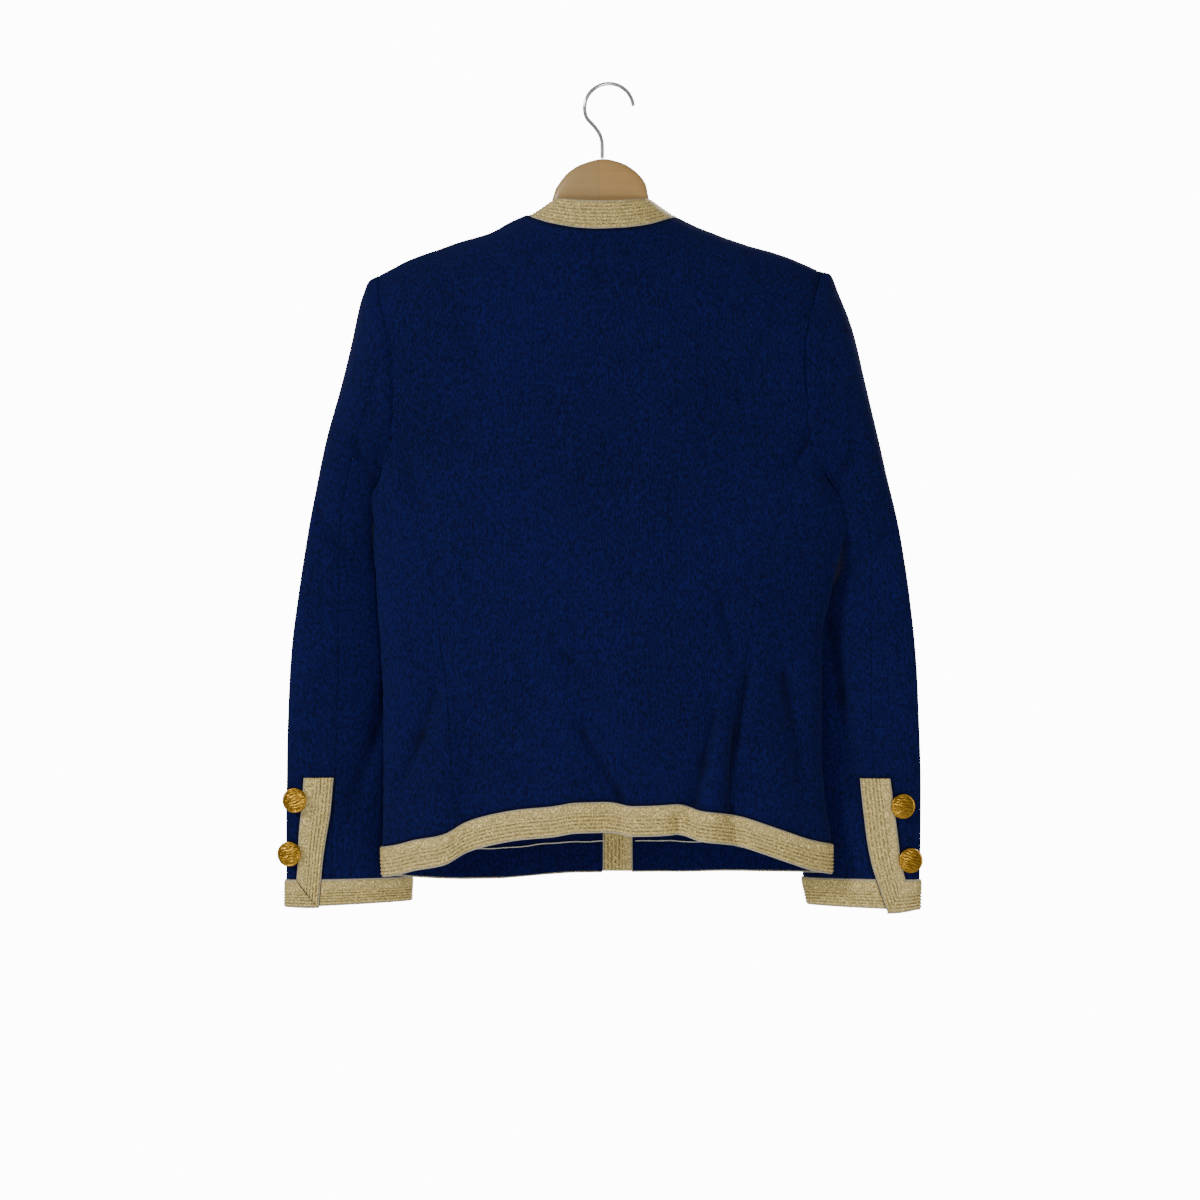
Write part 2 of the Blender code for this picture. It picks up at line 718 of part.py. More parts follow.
def back_right_angles(t):
    return even(seam_angle(seam_share_at(t, "right")) + GAP_ANGLE, math.pi, 6)


panel("back_centre", back, back_centre_angles, BACK_ROWS, NAVY, BACK_OUT)
SIDE_ROWS = LOWER_ROWS + [SEAM_NOTCH]
panel("back_side_left", back, back_left_angles, SIDE_ROWS, NAVY, BACK_OUT)
panel("back_side_right", back, back_right_angles, SIDE_ROWS, NAVY, BACK_OUT)


def angle_at_x(surface, x, t):
    """Find the column of a surface that passes through x on a row."""
    low = 0.15
    high = math.pi - 0.15
    for _ in range(26):
        middle = (low + high) / 2.0
        if surface(middle, t)[0] < x:
            low = middle
        else:
            high = middle
    return (low + high) / 2.0


FRONT_ROWS = [0.0, HEM_TOP, 0.1, 0.16, 0.23, 0.3, 0.37, 0.44, 0.51, 0.57, 0.62, 0.67, 0.72]
FRONT_ROWS += [0.77, 0.82, 0.87, 0.91, 0.94, 0.965, 0.985, 1.0]


def front_left_angles(t):
    inner = angle_at_x(front_under, BAND_LEFT_X - GAP, t)
    return spread(0.0, inner, (seam_angle(NECK_LEFT), seam_angle(NECK_LEFT * 0.75)), (8, 2, 4), t)


def front_right_angles(t):
    inner = angle_at_x(front_over, BAND_RIGHT_X + GAP, t)
    return spread(inner, math.pi, (seam_angle(NECK_RIGHT * 0.78), seam_angle(NECK_RIGHT)), (3, 2, 9), t)


panel("front_left", front_under, front_left_angles, FRONT_ROWS, NAVY, FRONT_OUT)
panel("front_right", front_over, front_right_angles, FRONT_ROWS, NAVY, FRONT_OUT)

# The bands on the hems lie on the panels, just off them

HEM_PROFILE = rib_profile(0.36, 6)


def hem_row(surface, columns, index, front, outward):
    """One cross section of a hem band, from its top edge down to the hem."""

    def at(share):
        t = HEM_TOP * (1.0 - share)
        for _ in range(3):
            angle = columns(t)[index]
            s = -math.cos(angle)
            top = share_at_drop(s, hem_drop(s, front) - TRIM_WIDTH, front)
            t = mix(top, 0.0, share)
        if index == 0:
            angle = max(angle, EDGE_ANGLE)
        if index == len(columns(t)) - 1:
            angle = min(angle, math.pi - EDGE_ANGLE)
        point = surface(angle, t)
        normal = surface_normal(surface, angle, t, outward)
        return point + normal * TRIM_GAP, normal

    return at


def hem_band(name, surface, columns, front, outward):
    count = len(columns(0.0))
    rows = [hem_row(surface, columns, index, front, outward) for index in range(count)]
    trim_strip(name, rows, HEM_PROFILE, GOLD_RIB, backing=2)


def back_columns(t):
    """All the columns of the back, side panels and centre together."""
    return back_left_angles(t) + back_centre_angles(t)[1:-1] + back_right_angles(t)


hem_band("hem_band_back", back, back_columns, False, BACK_OUT)
hem_band("hem_band_front_left", front_under, front_left_angles, True, FRONT_OUT)
hem_band("hem_band_front_right", front_over, front_right_angles, True, FRONT_OUT)

# A thin tape inside each front hem


def tape_row(surface, columns, index):
    def at(share):
        angle = columns(HEM_TOP)[index]
        s = -math.cos(angle)
        t = share_at_drop(s, hem_drop(s, True) - TAPE_TOP - TAPE_WIDTH * (1.0 - share), True)
        point = surface(angle, t)
        normal = surface_normal(surface, angle, t, FRONT_OUT)
        return point - normal * (CLOTH + GAP), -normal

    return at


FLAT_PROFILE = ((0.0, 0.0), (1.0, 0.0))


def tape(name, surface, columns, start, end):
    rows = [tape_row(surface, columns, index) for index in range(start, end)]
    trim_strip(name, rows, FLAT_PROFILE, PALE_TAPE, thick=TAPE_THICK, backing=2)


tape("hem_tape_left", front_under, front_left_angles, 2, 15)
tape("hem_tape_right", front_over, front_right_angles, 0, 13)

# The two bands of the front edge, the under one ribbed inside, the other outside

BAND_PROFILE = rib_profile(0.34, 5)
BAND_ROWS = FRONT_ROWS[:-1] + [0.9985]


def band_row(t, over):
    left = BAND_LEFT_X
    right = BAND_RIGHT_X

    def at(share):
        x = mix(left, right, share) if over else mix(right, left, share)
        angle = angle_at_x(front_under, x, t)
        point = front_under(angle, t)
        normal = surface_normal(front_under, angle, t, FRONT_OUT)
        if over:
            lift = OVERLAP_STEP - CLOTH
            return point + normal * lift, normal
        return point, -normal

    return at


trim_strip("placket_under", [band_row(t, False) for t in BAND_ROWS], BAND_PROFILE, GOLD_RIB, backing=4)
trim_strip("placket_over", [band_row(t, True) for t in BAND_ROWS], BAND_PROFILE, GOLD_RIB, backing=4)

# The neck band stands on the neck's edge and ends at the front edges

NECK_PROFILE = rib_profile(0.08, 6)
NECK_MIDDLE_X = (NECK_BAND_LEFT + NECK_BAND_RIGHT) / 2.0
NECK_HALF_X = (NECK_BAND_RIGHT - NECK_BAND_LEFT) / 2.0


def neck_stops():
    """The neck seam, stop by stop on the panels' own columns, from one front edge to the other."""
    stops = []
    for x in (BAND_RIGHT_X, mix(BAND_LEFT_X, BAND_RIGHT_X, 0.66), mix(BAND_LEFT_X, BAND_RIGHT_X, 0.33)):
        stops.append((front_under, angle_at_x(front_under, x, 1.0), FRONT_OUT))
    columns = front_left_angles(1.0)
    for angle in reversed(columns[9:]):
        stops.append((front_under, angle, FRONT_OUT))
    for angle in back_centre_angles(1.0)[5:14]:
        stops.append((back, angle, BACK_OUT))
    columns = front_right_angles(1.0)
    for angle in reversed(columns[:5]):
        stops.append((front_over, angle, FRONT_OUT))
    for x in (mix(BAND_LEFT_X, BAND_RIGHT_X, 0.66), mix(BAND_LEFT_X, BAND_RIGHT_X, 0.33), BAND_LEFT_X):
        stops.append((front_over, angle_at_x(front_over, x, 1.0), FRONT_OUT))
    return stops


def neck_high(surface, angle, low):
    """The free edge of the neck band above one stop of its seam."""
    half = (NECK_RIGHT - NECK_LEFT) / 2.0
    middle = (NECK_RIGHT + NECK_LEFT) / 2.0
    across = min(max((-math.cos(angle) - middle) / half, -1.0), 1.0)
    inside = math.sqrt(1.0 - across * across)
    if surface is back:
        x = NECK_MIDDLE_X + NECK_HALF_X * across
        dip = NECK_BAND_BACK_DROP - NECK_BAND_SIDE_DROP
        drop = NECK_BAND_SIDE_DROP + dip * inside
        return np.array((x, low[1] + NECK_BAND_LEAN * inside, -drop))
    corner = NECK_BAND_LEFT if across < 0.0 else NECK_BAND_RIGHT
    seam = back(seam_angle(NECK_LEFT if across < 0.0 else NECK_RIGHT), 1.0)
    fallen = ease((seam[2] - low[2]) / 45.0)
    inward = (corner - seam[0]) * (1.0 - fallen)
    rise = mix(-NECK_BAND_SIDE_DROP - seam[2], TRIM_WIDTH, fallen)
    return low + np.array((inward, -NECK_BAND_LEAN * 0.6 * fallen, rise))


def neck_lines():
    """Each stop's seam point, free edge point and the panel's own normal there."""
    lines = []
    for surface, angle, outward in neck_stops():
        low = surface(angle, 1.0)
        normal = surface_normal(surface, angle, 1.0, outward)
        lines.append((low, neck_high(surface, angle, low), normal))
    return lines


NECK_LINES = neck_lines()


def neck_row(index):
    """One cross section of the neck band, square to its neighbours."""
    low, high, seam_normal = NECK_LINES[index]
    before = NECK_LINES[max(0, index - 1)]
    after = NECK_LINES[min(len(NECK_LINES) - 1, index + 1)]

    def at(share):
        up = 1.0 - share
        along = high - low
        start = NECK_GAP / float(np.linalg.norm(along))
        point = low + along * mix(start, 1.0, up)
        beside = mix(after[0], after[1], up) - mix(before[0], before[1], up)
        normal = np.cross(beside, along)
        normal /= float(np.linalg.norm(normal))
        away = np.array((point[0] - NECK_MIDDLE_X, point[1] * 2.0, 0.0))
        if float(np.dot(normal, away)) < 0.0:
            normal = -normal
        normal = mix(seam_normal, normal, ease(up * 2.0))
        normal /= float(np.linalg.norm(normal))
        return point - normal * CLOTH, normal

    return at


trim_strip("neck_band", [neck_row(index) for index in range(len(NECK_LINES))], NECK_PROFILE, GOLD_RIB)

# Sleeves, ring by ring from the armhole to the cuff

UNDERARM_LEFT = share_at_drop(-1.0, UNDERARM_LEFT_DROP, False)
UNDERARM_RIGHT = share_at_drop(1.0, UNDERARM_RIGHT_DROP, False)


def armhole_point(side, turn):
    """The armhole, from the shoulder by the back to the underarm and up the front."""
    angle = 0.0 if side < 0 else math.pi
    under = UNDERARM_LEFT if side < 0 else UNDERARM_RIGHT
    share = (1.0 - math.cos(turn)) / 2.0
    front = math.sin(turn) < 0.0
    point = body_point(angle, mix(1.0, under, share), front)
    if front:
        other = body_point(angle, mix(1.0, under, share), False)
        point[2] = other[2]
    return point


RING_PLACES = tuple(i / (len(LEFT_RINGS) - 1) for i in range(len(LEFT_RINGS)))


def ring_value(rings, name, v):
    return smooth_table(RING_PLACES, column_of(rings, name), v)


def ring_end(rings, end, v):
    """The outer or the inner end of the ring at a share down the sleeve."""
    x = ring_value(rings, "x_" + end, v)
    y = ring_value(rings, "y_" + end, v)
    return np.array((x, y, -ring_value(rings, "drop_" + end, v)))


def sleeve_point(side, turn, v):
    """A point of the sleeve's outer face. Turn 0 is its outer edge, v runs down."""
    rings = LEFT_RINGS if side < 0 else RIGHT_RINGS
    share = (1.0 - math.cos(turn)) / 2.0
    outer = ring_end(rings, "out", v)
    inner = ring_end(rings, "in", v)
    half = ring_value(rings, "half", v)
    point = outer + (inner - outer) * share
    point[1] -= half * math.sin(turn)
    kept = ring_value(rings, "share", v)
    if kept > 0.0001:
        first = rings[0]
        flat_x = mix(first.x_out, first.x_in, share)
        flat_d = mix(first.drop_out, first.drop_in, share)
        flat = np.array((flat_x, -first.half * math.sin(turn), -flat_d))
        point += (armhole_point(side, turn) - flat) * kept
    folds = SLEEVE_FOLDS_LEFT if side < 0 else SLEEVE_FOLDS_RIGHT
    if math.sin(turn) > 0.0:
        point[1] -= fold_height(folds, point[0], -point[2]) * ease(math.sin(turn) * 1.5) * ease(v * 4.0)
    point[0] += side * ARMHOLE_GAP * (1.0 - ease(v * 10.0))
    return point


def sleeve_surface(side):
    def surface(turn, v):
        return sleeve_point(side, turn, v)
    return surface


SLEEVE_ROWS = [0.0, 0.04, 0.09, 0.15, 0.21, 0.28, 0.35, 0.42, 0.49, 0.56]
SLEEVE_ROWS += [0.63, 0.7, 0.77, 0.84, 0.9, CUFF_TOP_V, 1.0]


def seam_opening(degrees):
    """Half the gap at a sleeve seam, wider where the sleeve turns tightly."""
    return BACK_SEAM_OPENING if degrees == BACK_SEAM else FRONT_SEAM_OPENING


def sleeve_normal(surface, turn, v, outward):
    return surface_normal(surface, turn, v, outward, step_u=0.06, step_v=0.012, ends=ALL_ROUND)


def sleeve_turns(start, end, count):
    return even(math.radians(start), math.radians(end), count)


def sleeve_panel(name, side, start, end, count):
    surface = sleeve_surface(side)
    outward = -1.0 if side < 0 else 1.0
    turns = sleeve_turns(start, end, count)
    turns[0] += seam_opening(start)
    turns[-1] -= seam_opening(end)
    outer = []
    inner = []
    for v in SLEEVE_ROWS:
        out_row = []
        in_row = []
        for turn in turns:
            point = surface(turn, v)
            normal = sleeve_normal(surface, turn, v, outward)
            out_row.append(point)
            in_row.append(point - normal * CLOTH)
        outer.append(out_row)
        inner.append(in_row)
    return wall(name, outer, inner, NAVY)


sleeve_panel("sleeve_top_left", -1, FRONT_SEAM - 360.0, BACK_SEAM, TOP_ANGLES)
sleeve_panel("sleeve_under_left", -1, BACK_SEAM, FRONT_SEAM, UNDER_ANGLES)
sleeve_panel("sleeve_top_right", 1, FRONT_SEAM - 360.0, BACK_SEAM, TOP_ANGLES)
sleeve_panel("sleeve_under_right", 1, BACK_SEAM, FRONT_SEAM, UNDER_ANGLES)


def sleeve_turn_at(side, x, drop):
    """Find the place on the sleeve's back face that has this x and height."""
    rings = LEFT_RINGS if side < 0 else RIGHT_RINGS
    v = 0.8
    turn = 0.8
    for _ in range(30):
        point = sleeve_point(side, turn, v)
        v += (drop + point[2]) / SLEEVE_LENGTH
        v = min(v, 1.0)
        low = ring_value(rings, "x_out", v)
        high = ring_value(rings, "x_in", v)
        share = min(max((x - low) / (high - low), 0.001), 0.999)
        turn = math.acos(1.0 - 2.0 * share)
    return turn, v


def on_sleeve(side, turn, v, lift):
    surface = sleeve_surface(side)
    outward = -1.0 if side < 0 else 1.0
    normal = sleeve_normal(surface, turn, v, outward)
    return surface(turn, v) + normal * lift, normal


def vent_row(side, row):
    start = sleeve_turn_at(side, row.x_out, row.drop)
    end = sleeve_turn_at(side, row.x_in, row.drop)

    def at(share):
        return on_sleeve(side, mix(start[0], end[0], share), mix(start[1], end[1], share), VENT_GAP)

    return at


def vent_band(name, side, rows):
    trim_strip(name, [vent_row(side, row) for row in rows], rib_profile(0.36, 5), GOLD_RIB, backing=4)


vent_band("vent_band_left", -1, LEFT_VENT)
vent_band("vent_band_right", 1, RIGHT_VENT)

# The cuff band runs round the sleeve's end from the vent band back to it

CUFF_PROFILE = rib_profile(0.38, 5)


def cuff_row(side, turn_top, turn_low):
    def at(share):
        return on_sleeve(side, mix(turn_top, turn_low, share), mix(CUFF_TOP_V, 1.0, share), TRIM_GAP)

    return at


def vent_edge(side, rows, name, drop):
    """The turn of one edge of the vent band at a height."""
    x = smooth_table(column_of(rows, "drop"), column_of(rows, name), drop)
    return sleeve_turn_at(side, x, drop)[0]


def cuff_band(name, side, rows):
    top = sleeve_point(side, 1.0, CUFF_TOP_V)[2] * -1.0
    low = rows[-1].drop
    first = [vent_edge(side, rows, "x_in", drop) + VENT_CLEAR for drop in (top, low)]
    last = [vent_edge(side, rows, "x_out", drop) - VENT_CLEAR for drop in (top, low)]
    turns = sleeve_turns(BACK_SEAM, FRONT_SEAM, UNDER_ANGLES)
    turns += sleeve_turns(FRONT_SEAM, BACK_SEAM + 360.0, TOP_ANGLES)[1:]
    lines = [first]
    for turn in turns:
        if max(first) + TURN_CLEAR < turn < min(last) + 2.0 * math.pi - TURN_CLEAR:
            lines.append((turn, turn))
    lines.append((last[0] + 2.0 * math.pi, last[1] + 2.0 * math.pi))
    trim_strip(name, [cuff_row(side, *line) for line in lines], CUFF_PROFILE, GOLD_RIB, backing=2)


cuff_band("cuff_band_left", -1, LEFT_VENT)
cuff_band("cuff_band_right", 1, RIGHT_VENT)

# Buttons: a turned dome with a rolled rim on a short shank

BUTTON_PROFILE = (
    (0.0, 0.0),
    (3.4, 0.0),
    (3.4, 2.3),
    (10.6, 2.5),
    (BUTTON_RADIUS, 3.6),
    (10.3, 4.8),
    (6.0, 6.3),
    (0.0, 7.0),
)

def button(name, seat, axis):
    """Turn the profile round the axis, seated on a point of the cloth."""
    build = bmesh.new()
    points = [build.verts.new((r * MM, 0.0, h * MM)) for r, h in BUTTON_PROFILE]
    edges = [build.edges.new((points[i], points[i + 1])) for i in range(len(points) - 1)]
    bmesh.ops.spin(
        build,
        geom=points + edges,
        cent=(0.0, 0.0, 0.0),
        axis=(0.0, 0.0, 1.0),
        angle=2.0 * math.pi,
        steps=BUTTON_SIDES,
        use_merge=True,
    )
    bmesh.ops.remove_doubles(build, verts=build.verts[:], dist=0.00001)
    bmesh.ops.recalc_face_normals(build, faces=build.faces[:])
    if build.calc_volume(signed=True) < 0.0:
        bmesh.ops.reverse_faces(build, faces=build.faces[:])
    mesh = bpy.data.meshes.new(name)
    build.to_mesh(mesh)
    build.free()
    for face in mesh.polygons:
        face.use_smooth = True
    thing = place(name, mesh, BRASS)
    thing.location = [c * MM for c in seat]
    side = np.cross((0.0, 0.0, 1.0), axis)
    tilt = math.acos(axis[2])
    thing.rotation_mode = "AXIS_ANGLE"
    thing.rotation_axis_angle = (tilt, *side)
    return thing


def cuff_button(name, side, seat):
    turn, v = sleeve_turn_at(side, seat.x, seat.drop)
    point, normal = on_sleeve(side, turn, v, VENT_GAP)
    lean = math.radians(seat.outward)
    axis = np.array((side * math.sin(lean), -math.cos(lean), 0.0))
    button(name, point + axis * CUFF_SHANK_LIFT, axis)


cuff_button("cuff_button_left_upper", -1, LEFT_CUFF_BUTTONS[0])
cuff_button("cuff_button_left_lower", -1, LEFT_CUFF_BUTTONS[1])
cuff_button("cuff_button_right_upper", 1, RIGHT_CUFF_BUTTONS[0])
cuff_button("cuff_button_right_lower", 1, RIGHT_CUFF_BUTTONS[1])


def front_button(number, drop):
    s = 0.06
    t = share_at_drop(s, drop, True)
    point, normal = band_row(t, True)(0.5)
    button("front_button_%d" % number, point + normal * (TRIM + RIB + GAP), normal)


for number, drop in enumerate(FRONT_BUTTON_DROPS, start=1):
    front_button(number, drop)

# The wooden hanger: rounded sections from one end of its arms to the other


def wood_ring(station):
    """A rounded section of the wood, fuller than an ellipse."""
    middle = (station.top + station.bottom) / 2.0
    high = (station.bottom - station.top) / 2.0
    ring = []
    for i in range(WOOD_SIDES):
        turn = 2.0 * math.pi * (i + 0.5) / WOOD_SIDES
        flat = abs(math.cos(turn)) ** 0.7 * math.copysign(1.0, math.cos(turn))
        tall = abs(math.sin(turn)) ** 0.8 * math.copysign(1.0, math.sin(turn))
        ring.append((station.x * MM, station.half * flat * MM, (-middle + high * tall) * MM))
    return ring


def wood():
    build = bmesh.new()
    rings = [[build.verts.new(p) for p in wood_ring(station)] for station in WOOD_STATIONS]
    for first, second in zip(rings, rings[1:]):
        for i in range(WOOD_SIDES):
            j = (i + 1) % WOOD_SIDES
            build.faces.new((first[i], first[j], second[j], second[i]))
    build.faces.new(rings[0])
    build.faces.new(rings[-1])
    bmesh.ops.recalc_face_normals(build, faces=build.faces[:])
    mesh = bpy.data.meshes.new("hanger_wood")
    build.to_mesh(mesh)
    build.free()
    for face in mesh.polygons:
        face.use_smooth = len(face.vertices) == 4
    return place("hanger_wood", mesh, WOOD)


wood()

# The wire hook: a stem, a bend to the side and an open loop


def hook_path():
    """The middle line of the wire, from the wood up and round the loop."""
    centre_drop = LOOP_RADIUS - WIRE_RADIUS
    path = [(STEM_X, -STEM_LOW_DROP), (STEM_X, -STEM_TOP_DROP)]
    bend = ((-7.6, 45.6), (-11.8, 40.2), (-17.4, 34.4))
    for x, drop in bend:
        path.append((x, -drop))
    for i in range(LOOP_POINTS):
        turn = math.radians(mix(HOOK_START, HOOK_END, i / (LOOP_POINTS - 1)))
        x = HOOK_CENTRE_X + LOOP_RADIUS * math.cos(turn)
        z = -centre_drop + LOOP_RADIUS * math.sin(turn)
        path.append((x, z))
    return path


def hook():
    curve = bpy.data.curves.new("hanger_hook", "CURVE")
    curve.dimensions = "3D"
    curve.bevel_depth = WIRE_RADIUS * MM
    curve.bevel_resolution = 2
    curve.use_fill_caps = True
    points = hook_path()
    line = curve.splines.new("POLY")
    line.points.add(len(points) - 1)
    for point, (x, z) in zip(line.points, points):
        point.co = (x * MM, 0.0, z * MM, 1.0)
    thing = bpy.data.objects.new("hanger_hook", curve)
    curve.materials.append(CHROME)
    GARMENT.objects.link(thing)
    return thing


hook()
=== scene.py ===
# %% [markdown]
# A knit blazer hangs on a wooden hanger, and we look at its back. The real one is a
# fine dark blue jersey with ribbed metallic gold trims on every edge and hammered gold
# buttons on the sleeve vents and down the front. The plain solids of the part are
# already in the frame. Each one is dressed here by a finer piece that follows the same
# tables, so that both tell of the same garment.

# %% Load the frame
import math
from collections import namedtuple

import bmesh
import bpy
import numpy as np
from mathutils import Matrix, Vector


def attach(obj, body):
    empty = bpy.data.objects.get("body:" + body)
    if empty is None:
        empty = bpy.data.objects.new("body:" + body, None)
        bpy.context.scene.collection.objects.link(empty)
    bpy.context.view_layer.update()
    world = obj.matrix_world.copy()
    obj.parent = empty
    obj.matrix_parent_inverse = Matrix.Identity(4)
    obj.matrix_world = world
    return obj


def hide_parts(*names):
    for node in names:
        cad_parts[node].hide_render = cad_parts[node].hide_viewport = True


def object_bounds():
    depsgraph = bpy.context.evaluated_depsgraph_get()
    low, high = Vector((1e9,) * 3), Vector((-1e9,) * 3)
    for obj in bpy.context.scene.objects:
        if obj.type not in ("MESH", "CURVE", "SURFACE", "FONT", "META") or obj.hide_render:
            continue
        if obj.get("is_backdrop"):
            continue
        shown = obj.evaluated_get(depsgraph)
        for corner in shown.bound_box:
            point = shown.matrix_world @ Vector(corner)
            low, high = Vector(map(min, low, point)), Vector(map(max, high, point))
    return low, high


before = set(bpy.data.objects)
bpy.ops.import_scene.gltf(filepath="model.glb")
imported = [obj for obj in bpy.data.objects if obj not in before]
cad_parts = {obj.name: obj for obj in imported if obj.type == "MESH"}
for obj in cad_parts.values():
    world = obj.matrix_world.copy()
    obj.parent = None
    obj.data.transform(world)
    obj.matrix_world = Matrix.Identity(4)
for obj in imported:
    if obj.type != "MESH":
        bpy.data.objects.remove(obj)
CAD_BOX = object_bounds()
print("solids in the frame:", len(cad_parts), "box", [round(c, 3) for c in (*CAD_BOX[0], *CAD_BOX[1])])

# %% [markdown]
# Sizes come first. A garment is easiest to keep true when its few driving numbers
# have names: how thick the cloth is, how wide the trims are, how big a button is.
# All lengths below are in millimetres, and heights are drops below the top of the hook.

# %% Driving sizes
MM = 0.001
CLOTH = 1.6
TRIM_WIDTH = 26.5
TRIM_SHELL = 0.9
GAP = 0.3
ARMHOLE_GAP = 0.08
RIDGE_ROUND = 62.0
NECK_FOOT = 1.6
SIDE_GAP = 0.16
BUTTON_RADIUS = 11.6
WIRE_RADIUS = 1.75
LOOP_RADIUS = 22.5
FINE = 1.0
print("trim", TRIM_WIDTH, "mm wide, button", 2 * BUTTON_RADIUS, "mm across")

# %% [markdown]
# The outline of a hanging body is read from its side edges. Each row of the table
# gives a height, how far out the side is, and how far back and front gape apart
# there, as they do at the armholes. Rows are close where the edge turns quickly.

# %% Side edges of the body
Edge = namedtuple("Edge", "drop x gape")
LEFT_EDGE = (
    Edge(170.0, -212.4, 15.0),
    Edge(175.4, -212.1, 16.0),
    Edge(194.7, -210.7, 22.0),
    Edge(214.0, -206.1, 26.0),
    Edge(246.2, -200.1, 29.0),
    Edge(271.9, -198.7, 29.0),
    Edge(301.4, -199.0, 27.0),
    Edge(323.5, -200.1, 22.0),
    Edge(338.2, -202.9, 17.0),
    Edge(351.1, -207.9, 12.0),
    Edge(365.8, -212.4, 6.5),
    Edge(378.7, -219.9, 0.0),
    Edge(390.0, -218.2, 0.0),
    Edge(404.4, -216.2, 0.0),
    Edge(430.2, -216.7, 0.0),
    Edge(452.3, -214.4, 0.0),
    Edge(476.2, -213.4, 0.0),
    Edge(525.0, -209.8, 0.0),
    Edge(569.1, -207.9, 0.0),
    Edge(613.3, -207.9, 0.0),
    Edge(657.4, -207.9, 0.0),
    Edge(702.5, -208.8, 0.0),
    Edge(735.0, -207.0, 0.0),
)
RIGHT_EDGE = (
    Edge(166.0, 194.4, 15.0),
    Edge(170.8, 193.2, 16.0),
    Edge(190.1, 188.1, 22.0),
    Edge(215.8, 181.7, 26.0),
    Edge(241.6, 177.6, 29.0),
    Edge(267.4, 177.2, 29.0),
    Edge(288.5, 179.4, 28.0),
    Edge(310.6, 181.7, 25.0),
    Edge(333.6, 184.9, 20.0),
    Edge(344.6, 191.3, 17.0),
    Edge(359.4, 198.7, 13.0),
    Edge(370.4, 206.8, 9.5),
    Edge(383.3, 216.1, 4.5),
    Edge(394.3, 219.9, 0.0),
    Edge(409.0, 219.0, 0.0),
    Edge(426.5, 213.9, 0.0),
    Edge(449.5, 208.8, 0.0),
    Edge(480.8, 201.5, 0.0),
    Edge(502.9, 196.9, 0.0),
    Edge(569.1, 196.0, 0.0),
    Edge(613.3, 196.0, 0.0),
    Edge(657.4, 199.2, 0.0),
    Edge(696.0, 204.7, 0.0),
    Edge(735.0, 204.2, 0.0),
)
print("side edges:", len(LEFT_EDGE), "and", len(RIGHT_EDGE), "rows")

# %% [markdown]
# Across the garment, each column of cloth has a lower end at the hem and an upper end
# at the shoulder. The back hem rides up in the middle and the front hem hangs lower,
# which is why the inside of the front shows below the back.

# %% Hem and shoulder lines
Column = namedtuple("Column", "across back_hem front_hem shoulder")
COLUMNS = (
    Column(-1.0, 726.4, 726.4, 175.4),
    Column(-0.947, 724.5, 727.0, 169.4),
    Column(-0.85, 719.0, 729.0, 160.0),
    Column(-0.723, 713.5, 731.0, 150.5),
    Column(-0.62, 702.0, 731.8, 143.4),
    Column(-0.50, 694.5, 731.5, 136.0),
    Column(-0.378, 690.0, 729.5, 123.6),
    Column(-0.25, 687.5, 727.5, 113.0),
    Column(-0.13, 683.8, 726.2, 106.0),
    Column(0.0, 683.4, 726.0, 102.0),
    Column(0.114, 687.0, 726.0, 103.0),
    Column(0.226, 686.5, 725.5, 109.0),
    Column(0.31, 685.5, 725.2, 116.5),
    Column(0.418, 691.5, 724.8, 127.5),
    Column(0.50, 693.5, 724.6, 134.4),
    Column(0.60, 697.5, 724.4, 142.2),
    Column(0.691, 703.5, 724.2, 148.0),
    Column(0.80, 711.5, 724.0, 154.4),
    Column(0.91, 719.5, 723.8, 162.5),
    Column(1.0, 723.7, 723.7, 170.8),
)

NECK_LEFT = -0.326
NECK_RIGHT = 0.355
NECK_SIDE_DROP = 119.9
NECK_BACK_DROP = 134.0
NECK_FRONT_DROP = 199.0
NECK_BAND_LEFT = -55.2
NECK_BAND_RIGHT = 41.9
NECK_BAND_SIDE_DROP = 100.8
NECK_BAND_BACK_DROP = 108.2
NECK_BAND_LEAN = 7.0
print("columns:", len(COLUMNS))

# %% [markdown]
# The body is flat and deep enough for the hanger. The back has a curved seam on each
# side that runs from the armhole to the hem, and a tailor shapes the waist with it.

# %% Depths and back seams
Depth = namedtuple("Depth", "drop back front")
DEPTHS = (
    Depth(100.0, 36.0, 38.0),
    Depth(200.0, 38.0, 42.0),
    Depth(300.0, 41.0, 48.0),
    Depth(400.0, 40.0, 46.0),
    Depth(500.0, 36.0, 41.0),
    Depth(600.0, 37.0, 41.0),
    Depth(735.0, 40.0, 42.0),
)

# The back seams from the armhole down, as a share of the half width

Seam = namedtuple("Seam", "drop left right")
SEAMS = (
    Seam(333.0, -1.0, 1.0),
    Seam(338.0, -0.975, 0.975),
    Seam(346.0, -0.94, 0.925),
    Seam(358.0, -0.895, 0.86),
    Seam(374.0, -0.845, 0.775),
    Seam(404.4, -0.805, 0.722),
    Seam(430.2, -0.772, 0.706),
    Seam(462.0, -0.745, 0.692),
    Seam(477.0, -0.738, 0.683),
    Seam(520.0, -0.722, 0.655),
    Seam(564.0, -0.70, 0.613),
    Seam(668.0, -0.665, 0.535),
    Seam(735.0, -0.64, 0.50),
)
print("seam rows:", len(SEAMS))

# %% [markdown]
# Knit falls in soft folds. A fold is a short line down the cloth with a height and a
# width at each end: plus is a ridge towards the viewer, minus is a trough. The wide
# ones are shared with the solids. The narrow creases exist only in this dressing.

